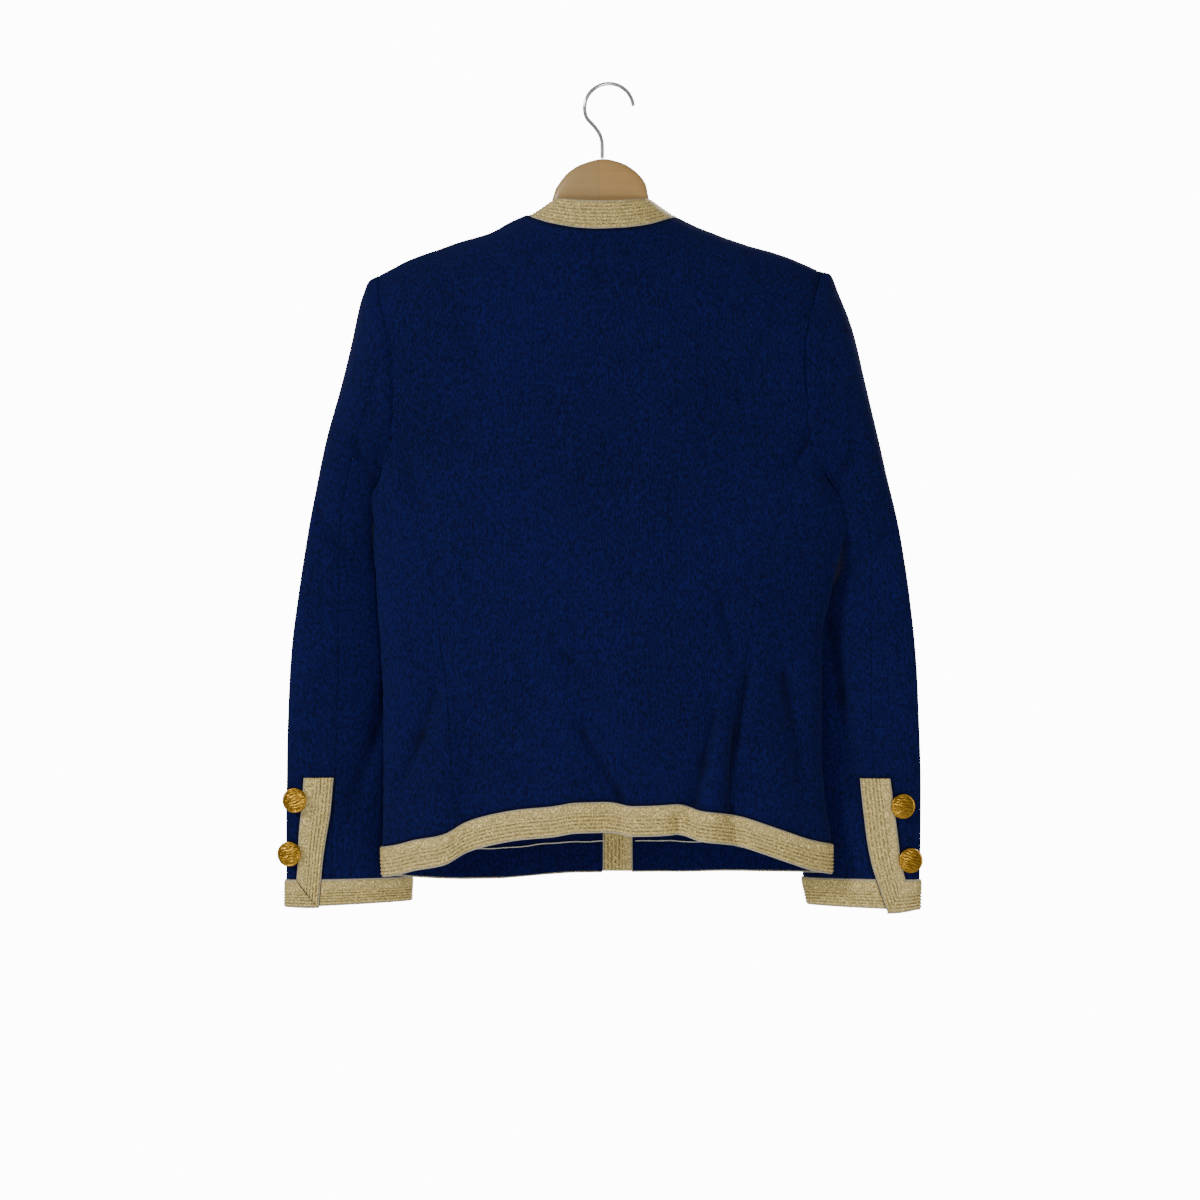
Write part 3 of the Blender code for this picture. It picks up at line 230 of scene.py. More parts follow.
# %% Folds and creases
Fold = namedtuple("Fold", "x_top drop_top x_low drop_low height_top height_low width_top width_low")
BACK_FOLDS = (
    Fold(108.0, 560.0, 88.0, 712.0, 1.0, 10.0, 11.0, 19.0),
    Fold(93.0, 572.0, 64.0, 700.0, -2.0, -4.5, 8.0, 10.0),
    Fold(128.0, 548.0, 116.0, 705.0, -2.5, -4.0, 9.0, 12.0),
    Fold(-38.0, 525.0, -8.0, 566.0, -2.5, -2.5, 14.0, 14.0),
    Fold(-20.0, 585.0, 8.0, 690.0, -2.5, -3.5, 14.0, 16.0),
    Fold(-52.0, 600.0, -40.0, 700.0, 2.0, 3.5, 20.0, 24.0),
    Fold(-161.0, 560.0, -188.0, 634.0, -3.5, -3.0, 14.0, 15.0),
    Fold(-126.0, 590.0, -126.0, 700.0, -2.5, -3.0, 13.0, 16.0),
    Fold(-150.0, 600.0, -158.0, 705.0, 2.5, 4.0, 14.0, 20.0),
    Fold(162.0, 540.0, 175.0, 625.0, -4.0, -2.5, 13.0, 13.0),
    Fold(150.0, 620.0, 160.0, 710.0, 2.5, 3.5, 15.0, 20.0),
    Fold(104.0, 480.0, 113.0, 520.0, -2.0, -2.0, 8.0, 8.0),
    Fold(188.0, 318.0, 168.0, 350.0, -4.0, -2.5, 8.0, 9.0),
    Fold(196.0, 378.0, 150.0, 420.0, 3.0, 1.0, 12.0, 16.0),
    Fold(-196.0, 372.0, -150.0, 410.0, 3.0, 1.0, 12.0, 16.0),
)
FRONT_FOLDS = (
    Fold(-120.0, 250.0, -150.0, 330.0, -3.0, -3.5, 14.0, 14.0),
    Fold(104.0, 255.0, 128.0, 332.0, -3.0, -3.5, 14.0, 14.0),
    Fold(-110.0, 480.0, -122.0, 715.0, 2.0, 5.0, 20.0, 26.0),
    Fold(-70.0, 560.0, -78.0, 715.0, -2.0, -4.0, 14.0, 18.0),
    Fold(95.0, 500.0, 112.0, 715.0, 2.0, 5.0, 20.0, 26.0),
    Fold(62.0, 580.0, 70.0, 715.0, -2.0, -4.0, 13.0, 16.0),
    Fold(-150.0, 395.0, -95.0, 330.0, 2.5, 1.0, 16.0, 20.0),
    Fold(150.0, 400.0, 95.0, 330.0, 2.5, 1.0, 16.0, 20.0),
)
BACK_CREASES = (
    Fold(-39.0, 523.0, -5.0, 561.0, -2.6, -1.2, 3.4, 4.6),
    Fold(-36.0, 518.0, -1.0, 555.0, 1.8, 0.8, 4.5, 6.0),
    Fold(-25.0, 590.0, 10.0, 652.0, -2.4, -2.0, 3.8, 5.0),
    Fold(9.0, 648.0, 12.0, 676.0, -1.6, -2.2, 4.0, 5.0),
    Fold(-17.0, 588.0, 19.0, 650.0, 1.4, 1.2, 5.0, 6.5),
    Fold(97.0, 577.0, 86.0, 622.0, -2.8, -2.2, 3.4, 4.6),
    Fold(87.0, 622.0, 74.0, 668.0, -2.2, -2.8, 4.6, 5.0),
    Fold(105.0, 570.0, 92.0, 640.0, 1.8, 1.4, 6.0, 7.5),
    Fold(126.0, 543.0, 115.0, 600.0, -2.4, -2.8, 4.0, 4.6),
    Fold(115.0, 598.0, 106.0, 668.0, -2.8, -2.0, 4.6, 6.0),
    Fold(136.0, 540.0, 128.0, 610.0, 1.6, 1.3, 6.0, 8.0),
    Fold(102.0, 476.0, 113.0, 521.0, -1.8, -1.1, 3.5, 4.6),
    Fold(61.0, 672.0, 62.5, 722.0, -3.4, -4.8, 3.2, 3.6),
    Fold(112.0, 664.0, 113.0, 722.0, -2.2, -3.6, 3.4, 3.8),
    Fold(-160.0, 562.0, -172.0, 600.0, -2.2, -1.7, 4.6, 5.6),
    Fold(-172.0, 600.0, -191.0, 640.0, -1.9, -1.3, 5.6, 6.6),
    Fold(-148.0, 566.0, -166.0, 612.0, 1.2, 0.9, 7.0, 8.0),
    Fold(160.0, 542.0, 174.0, 622.0, -2.5, -1.6, 4.8, 5.6),
    Fold(184.0, 322.0, 170.0, 352.0, -2.6, -1.6, 3.6, 4.5),
    Fold(-186.0, 350.0, -170.0, 392.0, -1.6, -0.9, 4.8, 5.8),
    Fold(-62.0, 150.0, 40.0, 158.0, -0.8, -0.6, 6.0, 7.0),
    Fold(-146.0, 196.0, -118.0, 262.0, -0.9, -0.6, 7.0, 9.0),
    Fold(150.0, 214.0, 120.0, 288.0, -1.0, -0.6, 7.0, 9.0),
)
FRONT_CREASES = (
    Fold(-118.0, 255.0, -146.0, 322.0, -1.0, -0.8, 4.5, 6.0),
    Fold(106.0, 262.0, 127.0, 326.0, -1.0, -0.8, 4.5, 6.0),
    Fold(-66.0, 600.0, -74.0, 690.0, -0.8, -1.2, 5.0, 6.0),
    Fold(60.0, 610.0, 68.0, 695.0, -0.8, -1.2, 5.0, 6.0),
    Fold(-140.0, 560.0, -152.0, 655.0, -0.7, -1.1, 6.0, 7.0),
    Fold(140.0, 548.0, 154.0, 640.0, -0.8, -1.0, 6.0, 7.0),
    Fold(-40.0, 330.0, -95.0, 352.0, -0.7, -0.4, 5.0, 7.0),
    Fold(48.0, 430.0, 100.0, 450.0, -0.6, -0.4, 5.0, 7.0),
)
print("folds:", len(BACK_FOLDS) + len(FRONT_FOLDS), "creases:", len(BACK_CREASES) + len(FRONT_CREASES))

# %% [markdown]
# The front closes right over left. The over band stands off the under band by the
# thickness of the cloth, and the right front eases out to meet it.

# %% Front edge sizes
BAND_LEFT_X = -6.0
BAND_RIGHT_X = 21.0
OVERLAP_STEP = 4.4
OVERLAP_EASE = 55.0
print("front band from", BAND_LEFT_X, "to", BAND_RIGHT_X)

# %% [markdown]
# A sleeve is a tube of rings. Each ring of the table gives its outer and inner edge,
# how far forward they sit, half its depth, and how much of the armhole's own curve it
# still keeps, so the tube blends out of the armhole instead of being stuck on it.

# %% Sleeve rings
Ring = namedtuple("Ring", "x_out drop_out x_in drop_in y_out y_in half share")
LEFT_RINGS = (
    Ring(-212.1, 175.4, -219.9, 378.7, 0.0, 0.0, 27.0, 1.0),
    Ring(-220.5, 179.5, -225.0, 383.5, 0.0, 2.5, 27.5, 0.97),
    Ring(-228.0, 197.0, -224.5, 389.0, 0.0, 7.0, 27.5, 0.84),
    Ring(-236.5, 236.0, -222.0, 397.0, 0.0, 12.5, 27.0, 0.62),
    Ring(-247.5, 280.0, -217.5, 408.5, 0.5, 19.5, 26.5, 0.40),
    Ring(-260.0, 326.0, -212.5, 424.0, 1.0, 25.0, 26.0, 0.20),
    Ring(-270.0, 372.0, -206.0, 444.0, 2.0, 29.5, 24.5, 0.07),
    Ring(-279.5, 425.0, -193.0, 468.0, 3.0, 33.0, 22.0, 0.0),
    Ring(-287.0, 474.0, -181.0, 496.0, 3.0, 35.5, 19.5, 0.0),
    Ring(-292.5, 521.0, -173.0, 530.0, 3.0, 37.0, 18.0, 0.0),
    Ring(-295.7, 580.0, -171.0, 582.0, 3.0, 37.0, 17.0, 0.0),
    Ring(-296.8, 636.0, -174.5, 636.0, 3.0, 36.0, 16.0, 0.0),
    Ring(-297.2, 679.0, -179.0, 679.0, 3.0, 35.0, 15.0, 0.0),
    Ring(-297.2, 729.0, -183.5, 729.0, 3.0, 33.0, 14.0, 0.0),
    Ring(-297.6, 756.0, -184.2, 752.5, 3.0, 31.0, 14.0, 0.0),
)
RIGHT_RINGS = (
    Ring(193.2, 170.8, 219.9, 394.3, 0.0, 0.0, 27.0, 1.0),
    Ring(203.0, 173.5, 225.5, 399.5, 0.0, 2.5, 27.5, 0.97),
    Ring(211.5, 193.0, 224.5, 404.5, 0.0, 7.0, 27.5, 0.84),
    Ring(224.0, 225.0, 221.5, 411.5, 0.0, 12.5, 27.0, 0.62),
    Ring(236.5, 276.0, 216.5, 421.0, 0.5, 19.5, 26.5, 0.40),
    Ring(248.0, 325.0, 211.5, 434.0, 1.0, 25.0, 26.0, 0.20),
    Ring(257.8, 367.0, 208.5, 452.0, 2.0, 29.5, 24.5, 0.07),
    Ring(268.5, 415.0, 194.0, 474.0, 3.0, 33.0, 22.0, 0.0),
    Ring(277.5, 474.0, 180.0, 502.0, 3.0, 35.5, 19.5, 0.0),
    Ring(282.5, 521.0, 170.5, 536.0, 3.0, 37.0, 18.0, 0.0),
    Ring(285.5, 580.0, 167.0, 584.0, 3.0, 37.0, 17.0, 0.0),
    Ring(287.2, 636.0, 168.5, 636.0, 3.0, 36.0, 16.0, 0.0),
    Ring(287.2, 679.0, 173.0, 679.0, 3.0, 35.0, 15.0, 0.0),
    Ring(286.3, 729.0, 180.0, 729.0, 3.0, 33.0, 14.0, 0.0),
    Ring(285.6, 758.5, 185.5, 756.0, 3.0, 31.0, 14.0, 0.0),
)
SLEEVE_FOLDS_LEFT = (
    Fold(-206.0, 560.0, -230.0, 645.0, -4.0, -3.0, 10.0, 11.0),
    Fold(-268.0, 395.0, -232.0, 440.0, -2.5, -2.0, 12.0, 12.0),
    Fold(-276.0, 545.0, -244.0, 500.0, 2.0, 1.5, 14.0, 14.0),
)
SLEEVE_FOLDS_RIGHT = (
    Fold(206.0, 498.0, 226.0, 655.0, -4.5, -3.5, 10.0, 11.0),
    Fold(257.0, 405.0, 222.0, 448.0, -2.5, -2.0, 12.0, 12.0),
    Fold(262.0, 560.0, 236.0, 520.0, 2.0, 1.5, 14.0, 14.0),
)

# Where the sleeve is cut, in degrees round it from its outer edge by the back

BACK_SEAM = 75.0
FRONT_SEAM = 205.0
SLEEVE_CREASES_LEFT = (
    Fold(-205.0, 556.0, -216.0, 600.0, -2.3, -1.8, 4.0, 5.0),
    Fold(-216.0, 598.0, -232.0, 650.0, -1.8, -1.3, 5.0, 6.0),
    Fold(-266.0, 398.0, -236.0, 436.0, -1.6, -1.1, 5.0, 6.0),
    Fold(-232.0, 330.0, -212.0, 372.0, -1.8, -1.4, 5.0, 6.0),
    Fold(-276.0, 470.0, -238.0, 486.0, -1.2, -0.8, 5.0, 7.0),
)
SLEEVE_CREASES_RIGHT = (
    Fold(204.0, 496.0, 215.0, 560.0, -2.5, -2.0, 4.0, 5.0),
    Fold(215.0, 560.0, 226.0, 652.0, -2.0, -1.4, 5.0, 6.0),
    Fold(255.0, 408.0, 226.0, 446.0, -1.6, -1.1, 5.0, 6.0),
    Fold(224.0, 332.0, 206.0, 376.0, -1.8, -1.4, 5.0, 6.0),
    Fold(270.0, 492.0, 232.0, 510.0, -1.2, -0.8, 5.0, 7.0),
)
print("rings a sleeve:", len(LEFT_RINGS))

# %% [markdown]
# The vent band runs up the back of the cuff, and two buttons sit beside it. The front
# closes with five more buttons, which are not seen from here.

# %% Vents and button places
VentRow = namedtuple("VentRow", "drop x_out x_in")
LEFT_VENT = (
    VentRow(636.8, -280.6, -253.2),
    VentRow(669.0, -283.4, -256.2),
    VentRow(691.5, -285.4, -259.9),
    VentRow(713.5, -286.2, -263.1),
    VentRow(733.0, -287.6, -264.8),
    VentRow(757.0, -289.8, -266.6),
)
RIGHT_VENT = (
    VentRow(637.5, 258.8, 231.4),
    VentRow(669.0, 263.0, 234.4),
    VentRow(691.5, 265.9, 237.0),
    VentRow(713.5, 268.7, 241.0),
    VentRow(733.0, 273.4, 246.6),
    VentRow(762.5, 281.0, 256.6),
)
Seat = namedtuple("Seat", "x drop outward")
LEFT_CUFF_BUTTONS = (Seat(-287.6, 657.4, 14.0), Seat(-292.4, 706.7, 16.0))
RIGHT_CUFF_BUTTONS = (Seat(269.0, 662.8, 14.0), Seat(276.0, 712.5, 14.0))
FRONT_BUTTON_DROPS = (222.0, 324.0, 426.0, 528.0, 630.0)
print("buttons:", len(LEFT_CUFF_BUTTONS) + len(RIGHT_CUFF_BUTTONS) + len(FRONT_BUTTON_DROPS))

# %% [markdown]
# Tables are read between their rows with rounded joins, for many places at once.
# Numpy does the sums on whole grids, so a fine piece of cloth takes a blink.

# %% Read a table smoothly
def mix(a, b, share):
    return a + (b - a) * share


def ease(share):
    share = np.clip(share, 0.0, 1.0)
    return share * share * (3.0 - 2.0 * share)


def read_rows(rows, name, where, key="drop"):
    """One named column of a table at any places, with no bump between two rows."""
    keys = np.array([getattr(row, key) for row in rows])
    values = np.array([getattr(row, name) for row in rows])
    return read_values(keys, values, where)


def read_values(keys, values, where):
    slopes = np.diff(values) / np.diff(keys)
    before, after = slopes[:-1], slopes[1:]
    alike = before * after > 0.0
    inner = np.where(alike, 2.0 * before * after / np.where(alike, before + after, 1.0), 0.0)
    tangents = np.concatenate((slopes[:1], inner, slopes[-1:]))
    where = np.clip(where, keys[0], keys[-1])
    i = np.clip(np.searchsorted(keys, where, side="left") - 1, 0, len(keys) - 2)
    width = keys[i + 1] - keys[i]
    u = (where - keys[i]) / width
    low = (1 + 2 * u) * (1 - u) ** 2 * values[i] + u * (1 - u) ** 2 * width * tangents[i]
    high = u * u * (3 - 2 * u) * values[i + 1] + u * u * (u - 1) * width * tangents[i + 1]
    return low + high


print("half width at drop 400 mm:", round(float(read_rows(RIGHT_EDGE, "x", 400.0)), 1))


# %% [markdown]
# Folds add up. Along its line a fold has its full height, past its ends it fades, and
# to its sides it falls off softly, as knit does because it can't hold a sharp crease.

# %% Height of the folds at a place
def fold_height(folds, x, drop):
    total = np.zeros_like(x)
    for fold in folds:
        along_x = fold.x_low - fold.x_top
        along_d = fold.drop_low - fold.drop_top
        length = math.hypot(along_x, along_d)
        u = ((x - fold.x_top) * along_x + (drop - fold.drop_top) * along_d) / length ** 2
        across = ((x - fold.x_top) * along_d - (drop - fold.drop_top) * along_x) / length
        held = np.clip(u, 0.0, 1.0)
        past = (u - held) * length
        width = mix(fold.width_top, fold.width_low, held)
        height = mix(fold.height_top, fold.height_low, held)
        total += height * np.exp(-((past / (1.6 * width)) ** 2)) * np.exp(-((across / width) ** 2))
    return total


print("swing at the hem:", round(float(fold_height(BACK_FOLDS, np.array(88.0), np.array(700.0))), 1), "mm")


# %% [markdown]
# The body is two faces, a back and a front, that meet at the side and shoulder seams.
# A place on a face has an angle, from the left side to the right, and a share from the
# hem to the shoulder. The face is full in the middle and rounds over at the shoulder.

# %% The upper and lower ends of a column
def neck_share(s):
    middle = (NECK_LEFT + NECK_RIGHT) / 2.0
    half = (NECK_RIGHT - NECK_LEFT) / 2.0
    return np.clip(1.0 - np.abs((s - middle) / half) ** 2.3, 0.0, 1.0)


def ridge_drop(s):
    return read_rows(COLUMNS, "shoulder", s, "across")


def top_drop(s, front):
    dip = (NECK_FRONT_DROP if front else NECK_BACK_DROP) - NECK_SIDE_DROP
    level = np.where((s > NECK_LEFT) & (s < NECK_RIGHT), NECK_SIDE_DROP, ridge_drop(s))
    return level + dip * neck_share(s)


def hem_drop(s, front):
    return read_rows(COLUMNS, "front_hem" if front else "back_hem", s, "across")


def share_at_drop(s, drop, front):
    low = hem_drop(s, front)
    return (low - drop) / (low - top_drop(s, front))


print("back length:", round(float(hem_drop(0.0, False) - top_drop(0.0, False)), 1), "mm")


# %% A place on the body
def body_point(angle, t, front, creases=True):
    angle = np.asarray(angle, dtype=float)
    t = np.asarray(t, dtype=float)
    angle, t = np.broadcast_arrays(angle, t)
    s = -np.cos(angle)
    left_drop = mix(hem_drop(-1.0, front), top_drop(-1.0, front), t)
    right_drop = mix(hem_drop(1.0, front), top_drop(1.0, front), t)
    side = (s + 1.0) / 2.0
    x = mix(read_rows(LEFT_EDGE, "x", left_drop), read_rows(RIGHT_EDGE, "x", right_drop), side)
    gape = mix(read_rows(LEFT_EDGE, "gape", left_drop), read_rows(RIGHT_EDGE, "gape", right_drop), side)
    drop = mix(hem_drop(s, front), top_drop(s, front), t)
    depth = read_rows(DEPTHS, "front" if front else "back", drop)
    below = np.clip(drop - ridge_drop(s), 0.0, RIDGE_ROUND) / RIDGE_ROUND
    rounding = np.sqrt(np.clip(1.0 - (1.0 - below) ** 2, 0.0, 1.0))
    bulge = np.clip(np.sin(angle), 0.0, 1.0) ** (1.0 + 0.75 * gape / 29.0)
    y = (gape + (depth - gape) * bulge) * rounding
    calm = np.minimum(1.0, np.sin(angle) * 2.2) * ease(below * 1.2)
    y = y + fold_height(FRONT_FOLDS if front else BACK_FOLDS, x, drop) * calm
    if creases:
        y = y + fold_height(FRONT_CREASES if front else BACK_CREASES, x, drop) * calm
    y = y + SIDE_GAP
    return np.stack((x, y if front else -y, -drop), axis=-1)


def back(angle, t):
    return body_point(angle, t, False)


def front_under(angle, t):
    return body_point(angle, t, True)


def front_over(angle, t):
    point = body_point(angle, t, True)
    point[..., 1] += OVERLAP_STEP * ease(1.0 - (point[..., 0] - BAND_RIGHT_X) / OVERLAP_EASE)
    return point


print("middle of the back at the waist:", np.round(back(math.pi / 2, 0.4), 1))


# %% [markdown]
# Two small searches are needed: where a seam crosses a row, and which column of a
# surface passes through a given x. Both halve or repeat until they settle.

# %% Find seams and columns
def seam_angle(s):
    return np.arccos(np.clip(-s, -1.0, 1.0))


def seam_share_at(t, name):
    s = np.full_like(np.asarray(t, dtype=float), getattr(SEAMS[-1], name))
    for _ in range(14):
        drop = mix(hem_drop(s, False), top_drop(s, False), t)
        s = read_rows(SEAMS, name, drop)
    return s


def angle_at_x(surface, x, t):
    x, t = np.broadcast_arrays(np.asarray(x, dtype=float), np.asarray(t, dtype=float))
    low = np.full(x.shape, 0.15)
    high = np.full(x.shape, math.pi - 0.15)
    for _ in range(26):
        middle = (low + high) / 2.0
        short = surface(middle, t)[..., 0] < x
        low = np.where(short, middle, low)
        high = np.where(short, high, middle)
    return (low + high) / 2.0


SEAM_TOP = float(share_at_drop(-1.0, 333.0, False))
print("the back seams reach up to share", round(SEAM_TOP, 3))


# %% [markdown]
# A sleeve place has a turn round the tube and a share down it. Near the armhole the
# ring takes the armhole's own line, and lower down it is a soft flat oval.

# %% A place on a sleeve
def armhole_point(side, turn):
    angle = 0.0 if side < 0 else math.pi
    under = float(share_at_drop(-1.0, 378.7, False) if side < 0 else share_at_drop(1.0, 394.3, False))
    t = mix(1.0, under, (1.0 - np.cos(turn)) / 2.0)
    behind = body_point(np.full_like(t, angle), t, False)
    before = body_point(np.full_like(t, angle), t, True)
    before[..., 2] = behind[..., 2]
    return np.where((np.sin(turn) < 0.0)[..., None], before, behind)


def ring_value(rings, name, v):
    places = np.arange(len(rings)) / (len(rings) - 1)
    return read_values(places, np.array([getattr(ring, name) for ring in rings]), v)


def sleeve_point(side, turn, v, creases=True):
    turn, v = np.broadcast_arrays(np.asarray(turn, dtype=float), np.asarray(v, dtype=float))
    rings = LEFT_RINGS if side < 0 else RIGHT_RINGS
    share = (1.0 - np.cos(turn)) / 2.0
    x = mix(ring_value(rings, "x_out", v), ring_value(rings, "x_in", v), share)
    y = mix(ring_value(rings, "y_out", v), ring_value(rings, "y_in", v), share)
    drop = mix(ring_value(rings, "drop_out", v), ring_value(rings, "drop_in", v), share)
    point = np.stack((x, y - ring_value(rings, "half", v) * np.sin(turn), -drop), axis=-1)
    first = rings[0]
    flat = np.stack(
        (mix(first.x_out, first.x_in, share), -first.half * np.sin(turn), -mix(first.drop_out, first.drop_in, share)),
        axis=-1,
    )
    point = point + (armhole_point(side, turn) - flat) * ring_value(rings, "share", v)[..., None]
    folds = SLEEVE_FOLDS_LEFT if side < 0 else SLEEVE_FOLDS_RIGHT
    if creases:
        folds = folds + (SLEEVE_CREASES_LEFT if side < 0 else SLEEVE_CREASES_RIGHT)
    swell = fold_height(folds, point[..., 0], -point[..., 2])
    point[..., 1] -= np.where(np.sin(turn) > 0.0, swell * ease(np.sin(turn) * 1.5) * ease(v * 4.0), 0.0)
    point[..., 0] += side * ARMHOLE_GAP * (1.0 - ease(v * 10.0))
    return point


def sleeve_left(turn, v):
    return sleeve_point(-1, turn, v)


def sleeve_right(turn, v):
    return sleeve_point(1, turn, v)


print("outer edge of the left cuff:", np.round(sleeve_left(0.0, 1.0), 1))


# %% Find a place on a sleeve from its x and height
def sleeve_place(side, x, drop):
    x, drop = np.broadcast_arrays(np.asarray(x, dtype=float), np.asarray(drop, dtype=float))
    rings = LEFT_RINGS if side < 0 else RIGHT_RINGS
    v = np.full(x.shape, 0.8)
    turn = np.full(x.shape, 0.8)
    for _ in range(30):
        point = sleeve_point(side, turn, v)
        v = np.minimum(v + (drop + point[..., 2]) / 560.0, 1.0)
        low = ring_value(rings, "x_out", v)
        high = ring_value(rings, "x_in", v)
        turn = np.arccos(1.0 - 2.0 * np.clip((x - low) / (high - low), 0.001, 0.999))
    return turn, v


print("upper left button sits at turn", np.round(sleeve_place(-1, -287.6, 657.4)[0], 2))


# %% [markdown]
# Cloth is measured as a tailor would: along its rows and along its columns. The
# lengths give each piece its UV map in metres, so the knit keeps one stitch size
# everywhere, and they also give the size of the flat cut.

# %% Measure a grid of cloth
def lengths_along(points, axis):
    """Length from the first row or column of a grid up to each point."""
    steps = np.linalg.norm(np.diff(points, axis=axis), axis=-1)
    start = np.zeros_like(np.take(steps, [0], axis=axis))
    return np.concatenate((start, np.cumsum(steps, axis=axis)), axis=axis)


def grid_normals(points, inside):
    """Unit normals of a grid, on the side that faces away from the inside points."""
    down = np.gradient(points, axis=0)
    across = np.gradient(points, axis=1)
    normal = np.cross(across, down)
    length = np.linalg.norm(normal, axis=-1, keepdims=True)
    normal = normal / np.maximum(length, 1e-9)
    if float(np.sum(normal * (points - inside))) < 0.0:
        normal = -normal
    return normal


def grid_area(points):
    """The area of a grid of cloth, in square metres."""
    one = points[1:, 1:] - points[:-1, :-1]
    two = points[1:, :-1] - points[:-1, 1:]
    return float(np.linalg.norm(np.cross(one, two), axis=-1).sum()) / 2.0 * MM * MM


def crowd(start, end, count, ends=0.8):
    """Places from start to end that stand closer together near both ends."""
    even = np.linspace(0.0, 1.0, count)
    return mix(start, end, even - ends * np.sin(2.0 * math.pi * even) / (2.0 * math.pi))


print("ten crowded places:", np.round(crowd(0.0, 1.0, 10), 2))


# %% [markdown]
# Every cloth piece starts as Blender's own grid. It is moved onto the surface point by
# point, gets its UV map and any values that its material reads, and the Solidify
# modifier then gives the thin sheet its thickness towards the inside.

# %% Make a piece from a grid
def grid_piece(name, points, inside, material, values=None, round_way=False):
    rows, columns = points.shape[:2]
    build = bmesh.new()
    bmesh.ops.create_grid(build, x_segments=columns - 1, y_segments=rows - 1, size=0.5)
    mesh = bpy.data.meshes.new(name)
    build.to_mesh(mesh)
    build.free()
    flat = np.empty(len(mesh.vertices) * 3)
    mesh.vertices.foreach_get("co", flat)
    flat = flat.reshape(-1, 3)
    column = np.rint((flat[:, 0] + 0.5) * (columns - 1)).astype(int)
    row = np.rint((flat[:, 1] + 0.5) * (rows - 1)).astype(int)
    mesh.vertices.foreach_set("co", (points[row, column] * MM).ravel())
    across = lengths_along(points, 1)
    across = across - across[:, [columns // 2]]
    along = lengths_along(points, 0)
    uv = np.stack((across[row, column], along[row, column]), axis=-1) * MM
    corner = np.empty(len(mesh.loops), dtype=int)
    mesh.loops.foreach_get("vertex_index", corner)
    mesh.uv_layers.new(name="cloth").data.foreach_set("uv", uv[corner].ravel())
    for label, grid in (values or {}).items():
        mesh.attributes.new(label, "FLOAT", "POINT").data.foreach_set("value", grid[row, column].astype(float))
    mesh.update()
    facing = np.empty(len(mesh.polygons) * 3)
    mesh.polygons.foreach_get("normal", facing)
    middle = np.empty(len(mesh.polygons) * 3)
    mesh.polygons.foreach_get("center", middle)
    away = middle.reshape(-1, 3) - inside_of_faces(mesh, inside[row, column] * MM)
    if float(np.sum(facing.reshape(-1, 3) * away)) < 0.0:
        mesh.flip_normals()
    if round_way:
        close_round(mesh)
    mesh.polygons.foreach_set("use_smooth", np.ones(len(mesh.polygons), dtype=bool))
    mesh.materials.append(material)
    piece = bpy.data.objects.new(name, mesh)
    bpy.context.scene.collection.objects.link(piece)
    return piece


def inside_of_faces(mesh, inside):
    """The inside point under the first corner of each face."""
    first = np.empty(len(mesh.polygons), dtype=int)
    mesh.polygons.foreach_get("loop_start", first)
    corner = np.empty(len(mesh.loops), dtype=int)
    mesh.loops.foreach_get("vertex_index", corner)
    return inside[corner[first]]


def close_round(mesh):
    """Join the first and last column of a tube and put a face on each end."""
    build = bmesh.new()
    build.from_mesh(mesh)
    bmesh.ops.remove_doubles(build, verts=build.verts[:], dist=0.000002)
    rims = [edge for edge in build.edges if edge.is_boundary]
    if rims:
        bmesh.ops.holes_fill(build, edges=rims, sides=0)
    bmesh.ops.recalc_face_normals(build, faces=build.faces[:])
    if build.calc_volume(signed=True) < 0.0:
        bmesh.ops.reverse_faces(build, faces=build.faces[:])
    build.to_mesh(mesh)
    build.free()


def thicken(piece, thickness):
    wall = piece.modifiers.new("thickness", "SOLIDIFY")
    wall.thickness = thickness * MM
    wall.offset = -1.0
    wall.use_rim = True
    return piece


print("helpers ready")


# %% [markdown]
# Each piece follows the part's one body and stands for its plain solid, which is hidden.
# For cloth the size of its flat cut is worked out and printed: its widest row by its
# longest column, and the area of the cut between them.

# %% Dress a solid with a piece
FLAT_SIZES = {}


def dress(piece, slot, *nodes):
    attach(piece, "root")
    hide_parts(*nodes)
    return piece


def declare_cloth(piece, points, with_pieces=()):
    width = float(lengths_along(points, 1)[:, -1].max()) * MM
    length = float(lengths_along(points, 0)[-1].max()) * MM
    area = min(grid_area(points), width * length)
    FLAT_SIZES[piece.name] = (round(width, 3), round(length, 3), round(area, 4))
    print(piece.name, "flat", FLAT_SIZES[piece.name])


def share_of(value, start, end):
    return np.clip((value - start) / (end - start), 0.0, 1.0)


print("every piece rides on root")


# %% [markdown]
# The blue cloth is a fine jersey. Its wales, the little columns of V-shaped stitches,
# run down the cloth. The pattern is worked out from the UV map in millimetres, so that
# a stitch is 1.3 mm wide everywhere, and it drives a small bump and a faint painted shade,
# lighter on the stitches and darker between them. A blue sheen stands for the fine hairs that catch the light at the
# edges.
# The shade in a crease and the shadow line under the sewn edge of a trim are painted
# into the colour: each grid carries a value for these places, and the colour is darker there.

# %% Node helpers
def calc(tree, operation, first, second=None, third=None):
    node = tree.nodes.new("ShaderNodeMath")
    node.operation = operation
    for socket, value in zip(node.inputs, (first, second, third)):
        if value is None:
            continue
        if isinstance(value, (int, float)):
            socket.default_value = value
        else:
            tree.links.new(value, socket)
    return node.outputs[0]


def blend_colour(tree, share, one, two):
    node = tree.nodes.new("ShaderNodeMix")
    node.data_type = "RGBA"
    for socket, value in ((node.inputs["Factor"], share), (node.inputs[6], one), (node.inputs[7], two)):
        if isinstance(value, tuple):
            socket.default_value = (*value, 1.0)
        elif isinstance(value, float):
            socket.default_value = value
        else:
            tree.links.new(value, socket)
    return node.outputs[2]


